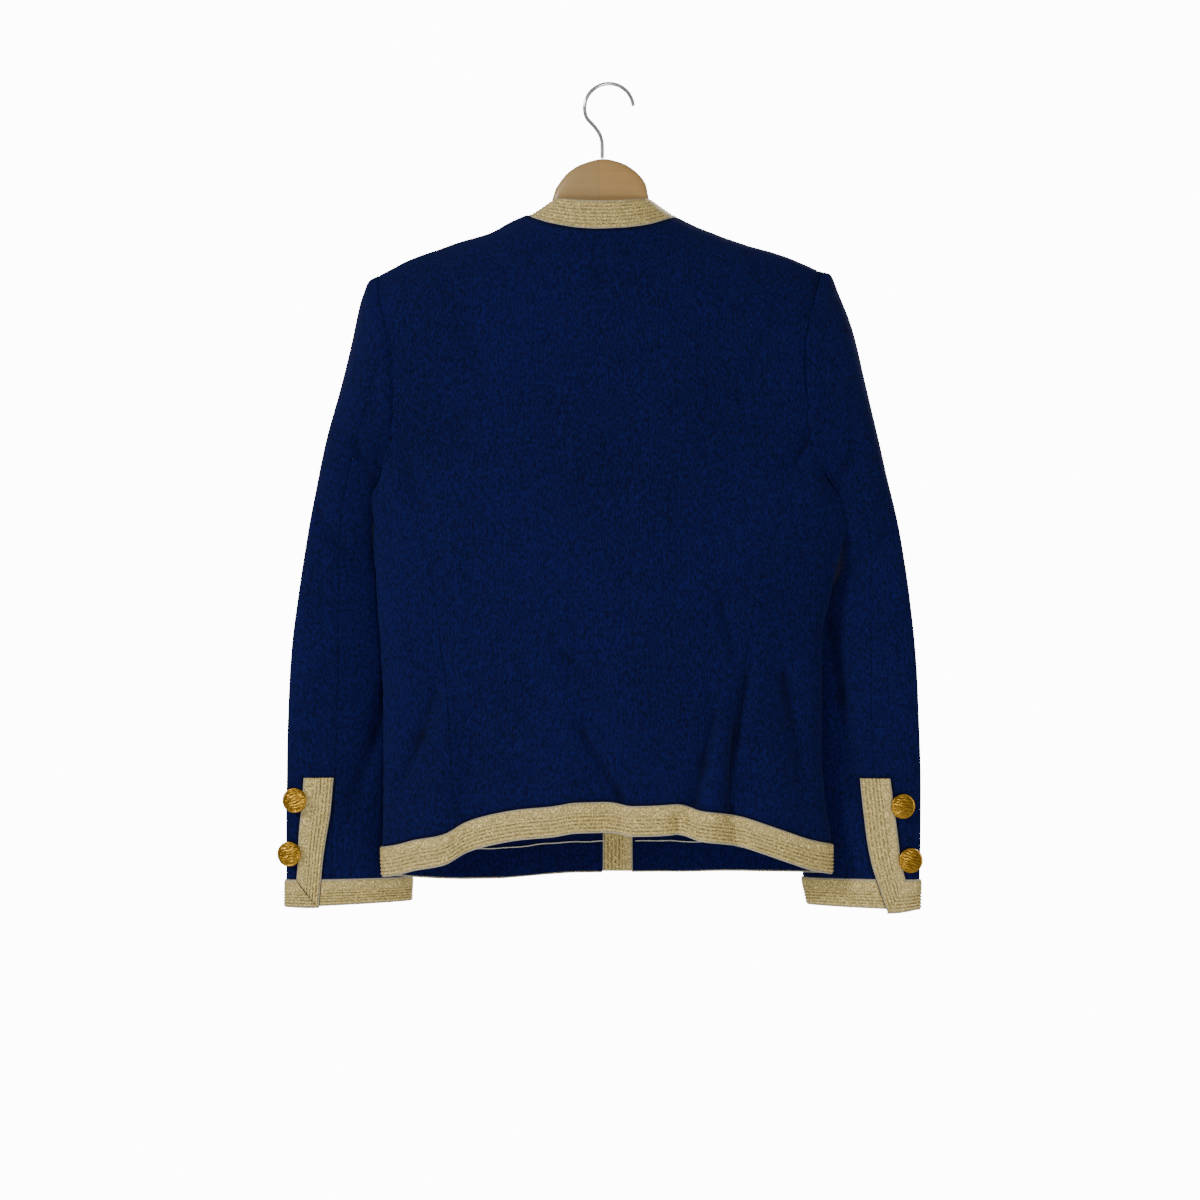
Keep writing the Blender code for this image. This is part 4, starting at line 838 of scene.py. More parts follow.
def noise(tree, place, scale, detail=3.0, rough=0.55):
    node = tree.nodes.new("ShaderNodeTexNoise")
    node.inputs["Scale"].default_value = scale
    node.inputs["Detail"].default_value = detail
    node.inputs["Roughness"].default_value = rough
    tree.links.new(place, node.inputs["Vector"])
    return node.outputs["Fac"]


def uv_in_mm(tree):
    """The two lengths of the cloth map, in millimetres."""
    place = tree.nodes.new("ShaderNodeUVMap")
    place.uv_map = "cloth"
    parts = tree.nodes.new("ShaderNodeSeparateXYZ")
    tree.links.new(place.outputs["UV"], parts.inputs[0])
    return calc(tree, "MULTIPLY", parts.outputs[0], 1000.0), calc(tree, "MULTIPLY", parts.outputs[1], 1000.0)


def object_place(tree, stretch=(1.0, 1.0, 1.0)):
    place = tree.nodes.new("ShaderNodeTexCoord")
    mapping = tree.nodes.new("ShaderNodeMapping")
    mapping.inputs["Scale"].default_value = stretch
    tree.links.new(place.outputs["Object"], mapping.inputs["Vector"])
    return mapping.outputs[0]


def bump(tree, height, strength, distance):
    node = tree.nodes.new("ShaderNodeBump")
    node.inputs["Strength"].default_value = strength
    node.inputs["Distance"].default_value = distance
    tree.links.new(height, node.inputs["Height"])
    return node.outputs["Normal"]


def new_material(name):
    made = bpy.data.materials.new(name)
    made.use_nodes = True
    return made, made.node_tree, made.node_tree.nodes["Principled BSDF"]


def read_value(tree, name):
    node = tree.nodes.new("ShaderNodeAttribute")
    node.attribute_name = name
    return node.outputs["Fac"]


# %% Stitches of a knit
def stitches(tree, x, y, wide, tall, slant):
    """Height of V-shaped knit stitches, 0 between them and 1 on their backs."""
    fold = calc(tree, "ABSOLUTE", calc(tree, "SUBTRACT", calc(tree, "FRACT", calc(tree, "DIVIDE", x, wide)), 0.5))
    climb = calc(tree, "MULTIPLY_ADD", fold, slant, calc(tree, "DIVIDE", y, tall))
    loop = calc(tree, "ABSOLUTE", calc(tree, "SUBTRACT", calc(tree, "FRACT", climb), 0.5))
    loop = calc(tree, "SUBTRACT", 1.0, calc(tree, "MULTIPLY", loop, 2.0))
    ditch = calc(tree, "POWER", calc(tree, "MULTIPLY", fold, 2.0), 2.5)
    return calc(tree, "MULTIPLY", calc(tree, "SUBTRACT", 1.0, ditch), calc(tree, "MULTIPLY_ADD", loop, 0.6, 0.4))


# %% The navy knit
def navy_knit():
    made, tree, shader = new_material("navy_knit_cloth")
    x, y = uv_in_mm(tree)
    stitch = stitches(tree, x, y, 1.3, 1.05, 1.3)
    cord = calc(tree, "MULTIPLY_ADD", calc(tree, "SINE", calc(tree, "MULTIPLY", x, 2.0 * math.pi / 2.6)), 0.5, 0.5)
    crepe = noise(tree, object_place(tree, (1.0, 1.0, 0.45)), 680.0, 2.0, 0.6)
    mottle = noise(tree, object_place(tree), 7.0, 2.0)
    height = calc(tree, "MULTIPLY_ADD", cord, 0.3, calc(tree, "MULTIPLY_ADD", crepe, 1.2, stitch))
    grain = calc(tree, "MULTIPLY_ADD", calc(tree, "SUBTRACT", crepe, 0.5), 2.4, calc(tree, "MULTIPLY", cord, 0.16))
    # Painted shade: the colour is lighter on the backs of the stitches and darker between them. The grain, ribs and
    # mottle are the yarn's own uneven tone.
    relief_shade_and_tone = calc(tree, "MULTIPLY_ADD", stitch, 0.22, calc(tree, "MULTIPLY_ADD", mottle, 0.35, grain))
    shade = blend_colour(tree, relief_shade_and_tone, (0.0008, 0.0015, 0.0180), (0.0036, 0.0060, 0.086))
    # Painted shade: in creases and along the sewn edges of trims the colour is pulled towards near black.
    shade = blend_colour(tree, read_value(tree, "painted_shade"), shade, (0.0004, 0.0008, 0.0060))
    tree.links.new(shade, shader.inputs["Base Color"])
    tree.links.new(bump(tree, height, 0.55, 0.0005), shader.inputs["Normal"])
    shader.inputs["Roughness"].default_value = 0.92
    shader.inputs["Specular IOR Level"].default_value = 0.1
    shader.inputs["Sheen Weight"].default_value = 0.045
    shader.inputs["Sheen Roughness"].default_value = 0.5
    shader.inputs["Sheen Tint"].default_value = (0.25, 0.4, 0.95, 1.0)
    return made


NAVY = navy_knit()
print("navy knit nodes:", len(NAVY.node_tree.nodes))

# %% [markdown]
# A cut edge of knit is never quite flat. Near a seam it sinks where the stitches pull
# it, and it puckers in little uneven waves. Both are added to the grid before the mesh
# is made, together with a very faint waviness of the whole cloth.


# %% Seams that sink and pucker
def settle(points, inside, sides, seed=0.0):
    """Sink the named edges of a panel and let the cloth wave a little."""
    normal = grid_normals(points, inside)
    across = lengths_along(points, 1)
    along = lengths_along(points, 0)
    far = {"left": across, "right": across[:, -1:] - across, "low": along, "high": along[-1:] - along}
    run = {"left": along, "right": along, "low": across, "high": across}
    x, y, z = points[..., 0], points[..., 1], points[..., 2]
    shift = 0.22 * np.sin(x / 9.7 + 1.3 * np.sin(z / 31.0 + seed)) * np.sin(z / 23.0 + seed + x / 40.0)
    shift += 0.16 * np.sin(x / 5.1 + z / 47.0 + seed) * np.sin(z / 61.0 - x / 15.0)
    for side in sides:
        distance = far[side]
        wave = np.sin(run[side] / 3.9 + 1.7 * np.sin(run[side] / 17.0 + seed)) * np.sin(run[side] / 29.0 + seed)
        shift -= 0.42 * np.exp(-((distance / 1.3) ** 2))
        shift += 0.26 * wave * np.exp(-((distance / 7.0) ** 2)) * ease(distance / 2.0)
    return points + normal * shift[..., None]


def body_inside(points):
    """The middle plane of the body, behind or before each point."""
    inside = points.copy()
    inside[..., 1] = 0.0
    return inside


def crease_painted_shade(creases, points):
    """How deep in a crease each point lies, turned into painted shade from 0 to 0.58."""
    depth = np.clip(-fold_height(creases, points[..., 0], -points[..., 2]) / 2.6, 0.0, 1.0)
    return 0.58 * depth ** 1.6


def trim_edge_painted_shadow(distance):
    """A narrow painted shadow line where the cloth dips under the sewn edge of a trim."""
    return 0.85 * np.exp(-(((distance - 0.6) / 1.5) ** 2))


def body_panel(name, surface, angles, rows, sides, seed):
    t = rows[:, None]
    points = surface(angles, np.broadcast_to(t, angles.shape))
    inside = body_inside(points)
    front = surface is not back
    # Painted shade in the creases, along the top edge of the hem trim and under the neck band.
    painted_shade = crease_painted_shade(FRONT_CREASES if front else BACK_CREASES, points)
    s = -np.cos(angles)
    painted_shade = np.maximum(painted_shade, trim_edge_painted_shadow(hem_drop(s, front) - TRIM_WIDTH + points[..., 2]))
    at_neck = (hem_drop(s, front) - top_drop(s, front)) * (1.0 - t) - NECK_FOOT
    painted_shade = np.maximum(painted_shade, np.where((s > NECK_LEFT) & (s < NECK_RIGHT), trim_edge_painted_shadow(at_neck), 0.0))
    points = settle(points, inside, sides, seed)
    piece = thicken(grid_piece(name + "_knit", points, inside, NAVY, {"painted_shade": painted_shade}), CLOTH)
    dress(piece, "navy_knit", name)
    return piece, points


def counted(full):
    return max(12, int(full * FINE))


# %% [markdown]
# The back is cut in three: a centre and two side panels. Their columns run along the
# seams, and the panels stop a hair short of each other, so the seam shows as a line.

# %% The back panels
SEAM_GAP = 0.04
HALF_WIDTH = 205.0
GAP_ANGLE = SEAM_GAP / HALF_WIDTH


def back_panels():
    rows = crowd(0.0, 1.0, counted(172), 0.5)
    left = np.where(rows < SEAM_TOP, seam_angle(seam_share_at(rows, "left")) + GAP_ANGLE, 0.0)
    right = np.where(rows < SEAM_TOP, seam_angle(seam_share_at(rows, "right")) - GAP_ANGLE, math.pi)
    across = crowd(0.0, 1.0, counted(220), 0.4)[None, :]
    angles = mix(left[:, None], right[:, None], across)
    declare_cloth(*body_panel("back_centre", back, angles, rows, ("left", "right"), 0.4))
    side_rows = crowd(0.0, SEAM_TOP - 0.0005, counted(120), 0.5)
    across = crowd(0.0, 1.0, counted(50), 0.5)[None, :]
    edge = seam_angle(seam_share_at(side_rows, "left")) - GAP_ANGLE
    angles = mix(np.zeros_like(edge)[:, None], edge[:, None], across)
    declare_cloth(*body_panel("back_side_left", back, angles, side_rows, ("left", "right"), 1.9))
    edge = seam_angle(seam_share_at(side_rows, "right")) + GAP_ANGLE
    angles = mix(edge[:, None], np.full_like(edge, math.pi)[:, None], across)
    declare_cloth(*body_panel("back_side_right", back, angles, side_rows, ("left", "right"), 3.1))


back_panels()

# %% [markdown]
# The two fronts run from the side seams to the front band, the left one a little way
# under it. Only the inside of their hems is seen from the back, but they are made as
# fully as the back is.


# %% The fronts
UNDER_BAND = 1.2


def front_panels():
    rows = crowd(0.0, 1.0, counted(120), 0.75)
    across = crowd(0.0, 1.0, counted(72), 0.7)[None, :]
    inner = angle_at_x(front_under, BAND_LEFT_X + UNDER_BAND, rows)
    angles = mix(np.zeros_like(inner)[:, None], inner[:, None], across)
    left = body_panel("front_left", front_under, angles, rows, ("left",), 0.9)
    inner = angle_at_x(front_over, BAND_RIGHT_X + GAP, rows)
    angles = mix(inner[:, None], np.full_like(inner, math.pi)[:, None], across)
    right = body_panel("front_right", front_over, angles, rows, ("right",), 2.3)
    return left, right


LEFT_FRONT, RIGHT_FRONT = front_panels()
print("fronts:", LEFT_FRONT[0].name, RIGHT_FRONT[0].name)

# %% [markdown]
# Each sleeve is cut in two, a wide upper piece and a narrow under piece. The seam at
# the back of the arm runs down to the vent.

# %% The sleeves
BACK_SEAM_TURN = math.radians(BACK_SEAM)
FRONT_SEAM_TURN = math.radians(FRONT_SEAM)


def vent_edge_painted_shadow(side, points):
    """The painted shadow line round a vent band, from its nearest long edge or its top."""
    rows = LEFT_VENT if side < 0 else RIGHT_VENT
    drop = -points[..., 2]
    x_out, x_in = read_rows(rows, "x_out", drop), read_rows(rows, "x_in", drop)
    outside = np.maximum(side * (points[..., 0] - x_out), side * (x_in - points[..., 0]))
    return trim_edge_painted_shadow(np.maximum(outside, rows[0].drop - drop))


def sleeve_panel(name, side, start, end, columns, seed):
    surface = sleeve_left if side < 0 else sleeve_right
    rows = crowd(0.0, 1.0, counted(150), 0.6)[:, None]
    turns = crowd(start, end, counted(columns), 0.6)[None, :]
    points = surface(turns, rows)
    ring = sleeve_point(side, np.linspace(0.0, 2.0 * math.pi, 24, endpoint=False)[None, :], rows)
    inside = np.broadcast_to(ring.mean(axis=1, keepdims=True), points.shape)
    # Painted shade in the creases and round the vent band, on the back half of the sleeve only.
    painted_shade = crease_painted_shade(SLEEVE_CREASES_LEFT if side < 0 else SLEEVE_CREASES_RIGHT, points)
    painted_shade = np.where(points[..., 1] < inside[..., 1], np.maximum(painted_shade, vent_edge_painted_shadow(side, points)), 0.0)
    points = settle(points, inside, ("left", "right", "low"), seed)
    piece = thicken(grid_piece(name + "_knit", points, inside, NAVY, {"painted_shade": painted_shade}), CLOTH)
    dress(piece, "navy_knit", name)
    declare_cloth(piece, points)


FULL_TURN = 2.0 * math.pi
BACK_OPEN, FRONT_OPEN = 0.0008, 0.003
for side, word in ((-1, "left"), (1, "right")):
    sleeve_panel("sleeve_top_" + word, side, FRONT_SEAM_TURN - FULL_TURN + FRONT_OPEN, BACK_SEAM_TURN - BACK_OPEN, 80,
                 0.7 + side)
    sleeve_panel("sleeve_under_" + word, side, BACK_SEAM_TURN + BACK_OPEN, FRONT_SEAM_TURN - FRONT_OPEN, 56,
                 2.2 + side)

# %% [markdown]
# The trims are knitted strips of metallic thread. Across its width a strip has a plain
# part and a set of fine cords, and a pale silvery edge closes both sides. The heights
# across the strip are worked out once, together with two values that its material
# reads: how high on a cord a point lies, and whether it lies on the pale edge.

# %% The cross section of a trim
EDGE_WIDTH = 1.5
CORD_HEIGHT = 1.2
EDGE_HEIGHT = 0.5
FACE_LIFT = 1.15


def trim_section(width, plain, cords, points_across):
    """Distances across a trim, with height, cord value and edge value at each."""
    d = np.unique(np.concatenate((np.linspace(0.0, width, points_across), (0.0, 0.4, 0.9, 1.4, 1.9),
                                  (width - 1.9, width - 1.4, width - 0.9, width - 0.4, width))))
    start = EDGE_WIDTH + (width - 2.0 * EDGE_WIDTH) * plain
    pitch = (width - EDGE_WIDTH - start) / cords
    phase = (d - start) / pitch
    on_cord = (d > start) & (d < width - EDGE_WIDTH)
    crest = np.where(on_cord, np.abs(np.sin(math.pi * phase)), 0.70)
    near = np.minimum(d, width - d)
    edge = 1.0 - ease(share_of(near, EDGE_WIDTH * 0.75, EDGE_WIDTH * 1.15))
    crest = np.where(near < EDGE_WIDTH, np.sin(math.pi * np.clip(near / EDGE_WIDTH, 0.0, 1.0)) * 0.9, crest)
    height = FACE_LIFT + np.where(near < EDGE_WIDTH, EDGE_HEIGHT, CORD_HEIGHT) * crest
    height = height * (1.0 - 0.55 * np.exp(-((near / 0.5) ** 2)))
    return d, height, crest, edge


print("section points of a hem trim:", len(trim_section(TRIM_WIDTH, 0.33, 5, 60)[0]))

# %% [markdown]
# Metallic knit is a pale thread wrapped in a gold film, so it isn't a plain metal. Its
# colour lies between straw and olive. Shade is painted into it, darker in the ditches between
# cords and between the beads, and small bright glints are painted in at random. The beads along each cord are the
# stitches.


# %% The gold rib
def gold_rib():
    made, tree, shader = new_material("gold_rib_thread")
    x, y = uv_in_mm(tree)
    crest = read_value(tree, "crest")
    edge = read_value(tree, "edge")
    bead = stitches(tree, y, x, 1.35, 1.25, 1.1)
    fleck = noise(tree, object_place(tree), 1400.0, 2.0)
    painted_glint = calc(tree, "POWER", noise(tree, object_place(tree), 700.0, 1.0), 4.5)
    # Painted shade: the colour goes dark into the ditches between cords and between the beads; the fleck is random
    # tone.
    relief_shade_and_tone = calc(tree, "MULTIPLY_ADD", calc(tree, "POWER", crest, 1.7), 0.78, calc(tree, "MULTIPLY", bead, 0.26))
    relief_shade_and_tone = calc(tree, "MULTIPLY", relief_shade_and_tone, calc(tree, "MULTIPLY_ADD", fleck, 1.0, 0.48))
    wander = noise(tree, object_place(tree), 24.0, 3.0)
    base = blend_colour(tree, relief_shade_and_tone, (0.022, 0.014, 0.003), (0.465, 0.345, 0.100))
    base = blend_colour(tree, calc(tree, "MULTIPLY", wander, 0.16), base, (0.40, 0.31, 0.12))
    # Painted highlight: random bright glints mixed into the base colour.
    base = blend_colour(tree, calc(tree, "MULTIPLY", painted_glint, 5.0), base, (0.95, 0.74, 0.28))
    # Painted shade between the beads of the pale edge as well.
    rim = blend_colour(tree, calc(tree, "MULTIPLY", bead, 1.0), (0.20, 0.18, 0.13), (0.54, 0.50, 0.38))
    base = blend_colour(tree, calc(tree, "MULTIPLY", edge, 0.85), base, rim)
    tree.links.new(base, shader.inputs["Base Color"])
    height = calc(tree, "MULTIPLY_ADD", fleck, 0.3, bead)
    tree.links.new(bump(tree, height, 0.55, 0.0004), shader.inputs["Normal"])
    shader.inputs["Metallic"].default_value = 0.15
    shader.inputs["Roughness"].default_value = 0.55
    shader.inputs["Sheen Weight"].default_value = 0.1
    return made


GOLD = gold_rib()
print("gold rib nodes:", len(GOLD.node_tree.nodes))

# %% [markdown]
# A trim lies on a panel. Its grid is the panel's own surface, and every point is then
# lifted by the section's height along the panel's outward side. A small sag between
# stitches keeps the long edges from looking ruled.


# %% Make a trim
def trim(name, slot, base, normal, section, seed):
    """base and normal are grids of (length, across) points. The section lifts them."""
    d, height, crest, edge = section
    lift = np.broadcast_to(height, base.shape[:2]).copy()
    along = lengths_along(base, 0)
    lift += 0.10 * np.sin(along / 2.9 + seed) * np.sin(along / 11.0 + 2.0 * seed)
    points = base + normal * lift[..., None]
    values = {"crest": np.broadcast_to(crest, base.shape[:2]), "edge": np.broadcast_to(edge, base.shape[:2])}
    piece = thicken(grid_piece(name + "_trim", points, base - normal * 4.0, GOLD, values), TRIM_SHELL)
    dress(piece, slot, name)
    declare_cloth(piece, points)
    return piece


def surface_normals(surface, u, v, inside_of, step_u=0.012, step_v=0.004, low_u=0.0, high_u=math.pi):
    """Unit normals of a surface at any places, away from its inside."""
    across = surface(np.minimum(u + step_u, high_u), v) - surface(np.maximum(u - step_u, low_u), v)
    along = surface(u, np.minimum(v + step_v, 1.0)) - surface(u, np.maximum(v - step_v, 0.0))
    normal = np.cross(across, along)
    normal /= np.maximum(np.linalg.norm(normal, axis=-1, keepdims=True), 1e-9)
    outward = np.sum(normal * (surface(u, v) - inside_of), axis=-1)
    return normal * (1.0 if float(outward.sum()) > 0.0 else -1.0)


HEM_LIP = 1.6


def hem_trim(name, surface, start, end, front, columns, seed):
    section = trim_section(TRIM_WIDTH + HEM_LIP, 0.33, 5, int(66 * FINE) + 8)
    angles = crowd(start, end, counted(columns), 0.3)[:, None]
    d = section[0][None, :]
    s = -np.cos(angles)
    t = share_at_drop(s, hem_drop(s, front) - TRIM_WIDTH + d, front)
    base = surface(angles, np.maximum(t, 0.0))
    base[..., 2] += np.minimum(t, 0.0) * (hem_drop(s, front) - top_drop(s, front))
    normal = surface_normals(surface, np.broadcast_to(angles, t.shape), np.maximum(t, 0.0), body_inside(base))
    return trim(name, "gold_rib", base, normal, section, seed)


# %% The hem trims
EDGE_ANGLE = 0.012
LOW = np.array(0.01)
hem_trim("hem_band_back", back, EDGE_ANGLE, math.pi - EDGE_ANGLE, False, 240, 0.3)
hem_trim("hem_band_front_left", front_under, EDGE_ANGLE, float(angle_at_x(front_under, BAND_LEFT_X - GAP, LOW)), True,
         110, 1.3)
hem_trim("hem_band_front_right", front_over, float(angle_at_x(front_over, BAND_RIGHT_X + GAP, LOW)),
         math.pi - EDGE_ANGLE, True, 110, 2.3)

# %% [markdown]
# The front edge has two bands. The under one shows its ribs on the inside, below the
# raised back hem. The over one shows them outside and carries the buttons.


# %% The front bands
def front_band(name, over, seed):
    right = BAND_RIGHT_X + (0.0 if over else 1.2)
    width = right - BAND_LEFT_X
    section = trim_section(width, 0.30, 5, int(60 * FINE) + 8)
    rows = crowd(0.0, 0.9985, counted(150), 0.3)[:, None]
    d = section[0][None, :]
    x = BAND_LEFT_X + d if over else right - d
    angle = angle_at_x(front_under, x, rows)
    t = np.broadcast_to(rows, angle.shape)
    base = front_under(angle, t)
    normal = surface_normals(front_under, angle, t, body_inside(base))
    if over:
        base = base + normal * (OVERLAP_STEP - 2.0 - 0.4)
    else:
        base = base - normal * 0.9
        normal = -normal
    return trim(name, "gold_rib", base, normal, section, seed)


front_band("placket_under", False, 0.8)
front_band("placket_over", True, 1.8)

# %% [markdown]
# The neck band stands on the edge of the neck. One long line of stops is laid along the
# seam, from the right front round the back to the left front, and a second line along
# the free edge above. Both are rounded a little where they pass the shoulder seams,
# because a knitted strip can't turn a sharp corner.

# %% The neck band
def neck_free_edge(surface, angle, low, at_back):
    half = (NECK_RIGHT - NECK_LEFT) / 2.0
    across = np.clip((-np.cos(angle) - (NECK_RIGHT + NECK_LEFT) / 2.0) / half, -1.0, 1.0)
    inside = np.sqrt(1.0 - across * across)
    if at_back:
        x = mix(NECK_BAND_LEFT, NECK_BAND_RIGHT, (across + 1.0) / 2.0)
        drop = NECK_BAND_SIDE_DROP + (NECK_BAND_BACK_DROP - NECK_BAND_SIDE_DROP) * inside
        return np.stack((x, low[:, 1] + NECK_BAND_LEAN * inside, -drop), axis=-1)
    corner = np.where(across < 0.0, NECK_BAND_LEFT, NECK_BAND_RIGHT)
    seam = back(seam_angle(np.where(across < 0.0, NECK_LEFT, NECK_RIGHT)), 1.0)
    fallen = ease((seam[:, 2] - low[:, 2]) / 45.0)
    inward = (corner - seam[:, 0]) * (1.0 - fallen)
    rise = mix(-NECK_BAND_SIDE_DROP - seam[:, 2], TRIM_WIDTH, fallen)
    return low + np.stack((inward, -NECK_BAND_LEAN * 0.6 * fallen, rise), axis=-1)


def rounded(line, times):
    """Average each point of a line with its neighbours, its two ends apart."""
    line = line.copy()
    for _ in range(times):
        line[1:-1] = 0.25 * line[:-2] + 0.5 * line[1:-1] + 0.25 * line[2:]
    return line


def neck_lines():
    lows, highs, normals = [], [], []
    runs = (
        (front_under, float(angle_at_x(front_under, BAND_RIGHT_X, np.array(1.0))), float(seam_angle(NECK_LEFT)), 52),
        (back, float(seam_angle(NECK_LEFT)), float(seam_angle(NECK_RIGHT)), 96),
        (front_over, float(seam_angle(NECK_RIGHT)), float(angle_at_x(front_over, BAND_LEFT_X, np.array(1.0))), 52),
    )
    for surface, start, end, count in runs:
        angles = np.linspace(start, end, counted(count))
        low = surface(angles, 1.0)
        normal = surface_normals(surface, angles, np.ones_like(angles), body_inside(low))
        lows.append(low)
        highs.append(neck_free_edge(surface, angles, low, surface is back))
        normals.append(normal)
    return np.concatenate(lows), np.concatenate(highs), np.concatenate(normals)


def neck_band():
    low, high, seam_normal = neck_lines()
    low, high = rounded(low, 6), rounded(high, 60)
    along = high - low
    length = np.linalg.norm(along, axis=-1, keepdims=True)
    along = along / length
    d, height, crest, edge = trim_section(float(length.mean()) + NECK_FOOT, 0.05, 7, int(60 * FINE) + 8)
    reach = d / d[-1]
    base = low[:, None, :] + along[:, None, :] * (mix(1.0, 0.0, reach)[None, :, None] * (length[:, None, :] + NECK_FOOT)
                                                 - NECK_FOOT)
    beside = np.gradient(base, axis=0)
    normal = np.cross(beside, np.broadcast_to(along[:, None, :], base.shape))
    normal /= np.maximum(np.linalg.norm(normal, axis=-1, keepdims=True), 1e-9)
    middle = np.array(((NECK_BAND_LEFT + NECK_BAND_RIGHT) / 2.0, 0.0, 0.0))
    away = (base - middle) * np.array((1.0, 2.0, 0.0))
    normal = np.where(np.sum(normal * away, axis=-1, keepdims=True) < 0.0, -normal, normal)
    normal = mix(normal, rounded(seam_normal, 8)[:, None, :], ease(reach * 2.0 - 1.0)[None, :, None])
    for _ in range(10):
        normal[1:-1] = 0.25 * normal[:-2] + 0.5 * normal[1:-1] + 0.25 * normal[2:]
    normal /= np.maximum(np.linalg.norm(normal, axis=-1, keepdims=True), 1e-9)
    lift = height - 1.9 + 1.1 * ease((reach - 0.86) / 0.1)
    trim("neck_band", "gold_rib", base, normal, (d, lift, crest, edge), 0.2)


neck_band()

# %% [markdown]
# The vent band lies on the sleeve's back from above the buttons to the cuff's end. Its
# plain part is on the outer side and its cords on the inner side. The cuff band starts
# along its inner edge, goes round the sleeve and comes back to its outer edge. There
# both are cut slantwise and meet in a mitre, so that the cords turn the corner.


# %% The vent bands
def sleeve_axis(side, v):
    ring = sleeve_point(side, np.linspace(0.0, FULL_TURN, 24, endpoint=False)[:, None, None], v[None])
    return ring.mean(axis=0)


def sleeve_normals(side, turn, v):
    surface = sleeve_left if side < 0 else sleeve_right
    return surface_normals(surface, turn, v, sleeve_axis(side, v), 0.03, 0.006, -100.0, 100.0)


MITRE_TOP = {-1: 730.5, 1: 733.0}


def vent_trim(name, side, rows, seed):
    width = float(np.mean([abs(row.x_in - row.x_out) for row in rows]))
    section = trim_section(width, 0.33, 5, int(56 * FINE) + 8)
    reach = (section[0] / width)[None, :]
    foot = mix(MITRE_TOP[side], rows[-1].drop, reach)
    drops = mix(rows[0].drop, foot, crowd(0.0, 1.0, counted(84), 0.3)[:, None])
    x = mix(read_rows(rows, "x_out", drops), read_rows(rows, "x_in", drops), reach)
    turn, v = sleeve_place(side, x, drops)
    surface = sleeve_left if side < 0 else sleeve_right
    base = surface(turn, v)
    base[..., 2] = -drops
    return trim(name, "gold_rib", base, sleeve_normals(side, turn, v), section, seed)


vent_trim("vent_band_left", -1, LEFT_VENT, 0.6)
vent_trim("vent_band_right", 1, RIGHT_VENT, 1.6)

# %% The cuff bands
CUFF_TOP_V = 0.931
VENT_CLEAR = 0.006
MITRE_CLEAR = 0.012
MITRE_SAG = {-1: 1.6, 1: 4.2}
SAG_TURN = 0.9


def cuff_trim(name, side, rows, seed):
    width = TRIM_WIDTH
    section = trim_section(width, 0.36, 5, int(60 * FINE) + 8)
    reach = (section[0] / width)[None, :]
    v = mix(CUFF_TOP_V, 1.0, reach)
    drop = -sleeve_point(side, np.full_like(v, 1.0), v)[..., 2]
    first = sleeve_place(side, read_rows(rows, "x_in", drop), drop)[0] + VENT_CLEAR
    mitre = mix(read_rows(rows, "x_out", drop), read_rows(rows, "x_in", drop), reach)
    last = sleeve_place(side, mitre, drop)[0] - MITRE_CLEAR + FULL_TURN
    turn = mix(first, last, crowd(0.0, 1.0, counted(140), 0.3)[:, None])
    v = np.broadcast_to(v, turn.shape)
    surface = sleeve_left if side < 0 else sleeve_right
    base = surface(turn, v)
    base[..., 2] -= MITRE_SAG[side] * reach * ease(1.0 - (last - turn) / SAG_TURN)
    return trim(name, "gold_rib", base, sleeve_normals(side, turn, v), section, seed)


cuff_trim("cuff_band_left", -1, LEFT_VENT, 0.1)
cuff_trim("cuff_band_right", 1, RIGHT_VENT, 1.1)

# %% [markdown]
# A narrow pale tape finishes the inside of each front hem. It shows below the back as a
# thin line, a little wavy, as a hand leaves it.


# %% The hem tapes
TAPE_TOP = 25.5
TAPE_WIDTH = 0.9


def pale_tape():
    made, tree, shader = new_material("pale_tape_cloth")
    x, y = uv_in_mm(tree)
    weave = stitches(tree, x, y, 0.8, 0.8, 0.6)
    tree.links.new(blend_colour(tree, weave, (0.30, 0.29, 0.25), (0.66, 0.64, 0.56)), shader.inputs["Base Color"])
    tree.links.new(bump(tree, weave, 0.4, 0.0002), shader.inputs["Normal"])
    shader.inputs["Roughness"].default_value = 0.75
    return made


TAPE = pale_tape()


def hem_tape(name, surface, start, end, high, low):
    angles = np.linspace(start, end, counted(150))[:, None]
    s = -np.cos(angles)
    across = np.linspace(0.0, TAPE_WIDTH, 7)[None, :]
    sway = 0.5 * np.sin(angles * 31.0) * np.sin(angles * 9.0) + mix(high, low, ease((angles - start) / (end - start)))
    t = share_at_drop(s, hem_drop(s, True) - TAPE_TOP - TAPE_WIDTH + across + sway, True)
    angles = np.broadcast_to(angles, t.shape)
    base = surface(angles, t)
    normal = surface_normals(surface, angles, t, body_inside(base))
    points = base - normal * (CLOTH + 1.1)
    piece = thicken(grid_piece(name + "_strip", points, base, TAPE), 0.45)
    return dress(piece, "pale_tape", name)


declare_cloth(*LEFT_FRONT, (hem_tape("hem_tape_left", front_under, 0.28, 1.56, 1.0, -1.8),))
declare_cloth(*RIGHT_FRONT, (hem_tape("hem_tape_right", front_over, 1.70, 2.88, -2.0, 7.0),))

# %% [markdown]
# The buttons are cast metal with a hammered look: uneven ridges that run across, inside
# a smooth rolled rim. A profile is spun round the axis with plenty of rings, and the
# points of the dome are then raised and lowered by a wavy sum. Each button has its own
# start value, so that no two are the same.

# %% A hammered button
BUTTON_PROFILE = (
    (0.0, 0.0), (3.4, 0.0), (3.4, 2.2), (7.0, 2.4), (10.4, 2.5), (11.0, 2.7), (11.4, 3.1), (BUTTON_RADIUS, 3.7),
    (11.45, 4.3), (11.1, 4.75), (10.65, 4.9), (10.2, 4.8), (9.9, 4.6),
)


